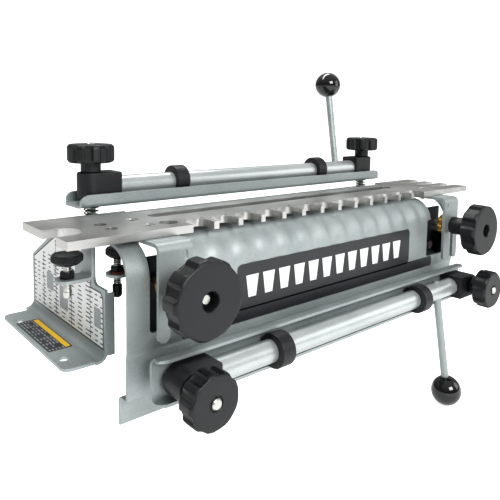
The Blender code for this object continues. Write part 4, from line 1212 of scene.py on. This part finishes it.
for x0, x1, z0, z1 in ((-140, -124, 30, 46), (-110, -92, 20, 40), (-76, -58, 58, 76), (-40, -28, 24, 40)):
    outer = rounded_box(x0, x1, z0, z1, 1.0, 3)
    frames.append(prism(outer, FILM + 0.06, FILM + 0.09))
chart_rules = raw(moved(merged(*rules), ON_SIDE), "chart_rules")
dress(chart_rules, BLACK_INK, "base")
chart_boxes = raw(moved(merged(*frames), ON_SIDE), "chart_boxes")
dress(chart_boxes, GREY_INK, "base")
joined = bmesh.new()
for obj in blocks:
    joined.from_mesh(obj.data)
    bpy.data.objects.remove(obj, do_unlink=True)
bmesh.ops.scale(joined, vec=(1 / MM,) * 3, verts=joined.verts)
chart_print = raw(joined, "chart_print")
dress(chart_print, BLACK_INK, "base")


# %% Caution strip on the foot
ON_FOOT = Matrix.Translation((0, 0, SHEET))
film("foot_label", rounded_box(-251, -231, 61, 139, 1.5), BLACK_FILM, ON_FOOT)
film("foot_label_bar", rounded_box(-236.5, -232, 63, 137, 0.6), YELLOW_INK, ON_FOOT, 0.16)
TURN = Matrix.Rotation(math.pi / 2, 4, "Z")
strip_print = print_block("foot_print", 64, 238, 72, 11, 12, 5, 1.1, 31, GREY_INK,
                          ON_FOOT @ TURN)
dress(strip_print, GREY_INK, "base")
print("labels done")


# %% [markdown]
# ## CAD parts that stay
# Plates, pins, plain washers, nuts and the bracket studs already have their true shape, so
# they keep their CAD mesh and only get their finish.

# %% Paint the parts that stay
def paint(node, mat):
    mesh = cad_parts[node].data
    mesh.materials.clear()
    mesh.materials.append(mat)


for label, _ in SIDES:
    paint(label + "_stud_plate", OXIDE)
    paint(label + "_stop_pin", OXIDE)
    paint(label + "_bracket_stud", ZINC)
    paint(label + "_nut_washer", ZINC)
    paint(label + "_knob_washer", ZINC)
    for which in CLAMPS:
        paint(f"{which}_{label}_stud", ZINC)
for which in ("outer", "inner"):
    paint(which + "_depth_nut", OXIDE)
paint("inner_depth_washer", COPPER)


# %% [markdown]
# ## Studio
# A pale floor below the lowest ball, a white sky, and three large soft lights: a key from the
# front, a fill from the right and a strip overhead that draws the long highlights
# on the bars. The camera stands in front, to the left and a little above.

# %% Floor, lights and camera
def area_light(name, where, aim, size, power):
    data = bpy.data.lights.new(name, "AREA")
    data.shape = "RECTANGLE"
    data.size, data.size_y = size
    data.energy = power
    light = bpy.data.objects.new(name, data)
    light.location = where
    light.rotation_euler = (Vector(aim) - Vector(where)).to_track_quat("-Z", "Y").to_euler()
    bpy.context.scene.collection.objects.link(light)


FLOOR_Z = CAD_LOW.z - 0.002
floor_mesh = bpy.data.meshes.new("floor")
FLOOR_HALF = 40.0
corners = ((-1, -1), (1, -1), (1, 1), (-1, 1))
floor_mesh.from_pydata([(x * FLOOR_HALF, y * FLOOR_HALF, FLOOR_Z) for x, y in corners], [], [(0, 1, 2, 3)])
floor = bpy.data.objects.new("floor", floor_mesh)
bpy.context.scene.collection.objects.link(floor)
floor_mat = bpy.data.materials.new("white_paper_sweep")
floor_mat.use_nodes = True
paper = floor_mat.node_tree.nodes["Principled BSDF"]
paper.inputs["Base Color"].default_value = (0.92, 0.92, 0.92, 1)
paper.inputs["Roughness"].default_value = 0.9
paper.inputs["Emission Color"].default_value = (1, 1, 1, 1)
direct = add(floor_mat.node_tree, "ShaderNodeLightPath").outputs["Is Camera Ray"]
lit = add(floor_mat.node_tree, "ShaderNodeMapRange", {"Value": direct, "To Min": 0.25, "To Max": 0.72})
floor_mat.node_tree.links.new(lit.outputs[0], paper.inputs["Emission Strength"])
floor_mesh.materials.append(floor_mat)

world = bpy.data.worlds.new("studio")
bpy.context.scene.world = world
world.use_nodes = True
sky = world.node_tree
seen = add(sky, "ShaderNodeLightPath").outputs["Is Camera Ray"]
facing = add(sky, "ShaderNodeSeparateXYZ", {0: add(sky, "ShaderNodeTexCoord").outputs["Generated"]})
dome = add(sky, "ShaderNodeMapRange", {"Value": facing.outputs["Z"], "From Min": 0.0, "From Max": 0.9,
                                       "To Min": 0.14, "To Max": 0.62})
glow = add(sky, "ShaderNodeMix", {"Factor": seen, "A": dome.outputs[0], "B": 1.0})
sky.links.new(glow.outputs[0], sky.nodes["Background"].inputs["Strength"])
sky.nodes["Background"].inputs["Color"].default_value = (1, 1, 1, 1)
area_light("key", (-0.25, -1.35, 0.85), (0, 0, 0.05), (0.8, 0.6), 16)
area_light("fill", (1.1, -0.9, 0.5), (0, 0, 0.05), (0.8, 0.8), 3.5)
area_light("strip", (0.0, 0.5, 1.2), (0, 0, 0.1), (1.4, 0.25), 9)

YAW, PITCH_DOWN, ROLL = math.radians(40.66), math.radians(5.0), math.radians(0.81)
CAMERA_AT = Vector((-405.63, -360.31, 190.78)) * MM
forward = Vector((math.cos(PITCH_DOWN) * math.sin(YAW), math.cos(PITCH_DOWN) * math.cos(YAW),
                  -math.sin(PITCH_DOWN)))
right = Vector((math.cos(YAW), -math.sin(YAW), 0))
up = right.cross(forward)
tilted_right = right * math.cos(ROLL) + up * math.sin(ROLL)
tilted_up = up * math.cos(ROLL) - right * math.sin(ROLL)
lens = bpy.data.cameras.new("camera")
lens.lens = 39.63
lens.sensor_width = 36
lens.shift_y = -0.171
lens.clip_start = 0.01
camera = bpy.data.objects.new("camera", lens)
axes = Matrix((tilted_right, tilted_up, -forward)).transposed().to_4x4()
camera.matrix_world = Matrix.Translation(CAMERA_AT) @ axes
bpy.context.scene.collection.objects.link(camera)
bpy.context.scene.camera = camera
bpy.context.scene.view_settings.view_transform = "Standard"
bpy.context.scene.view_settings.look = "Medium High Contrast"
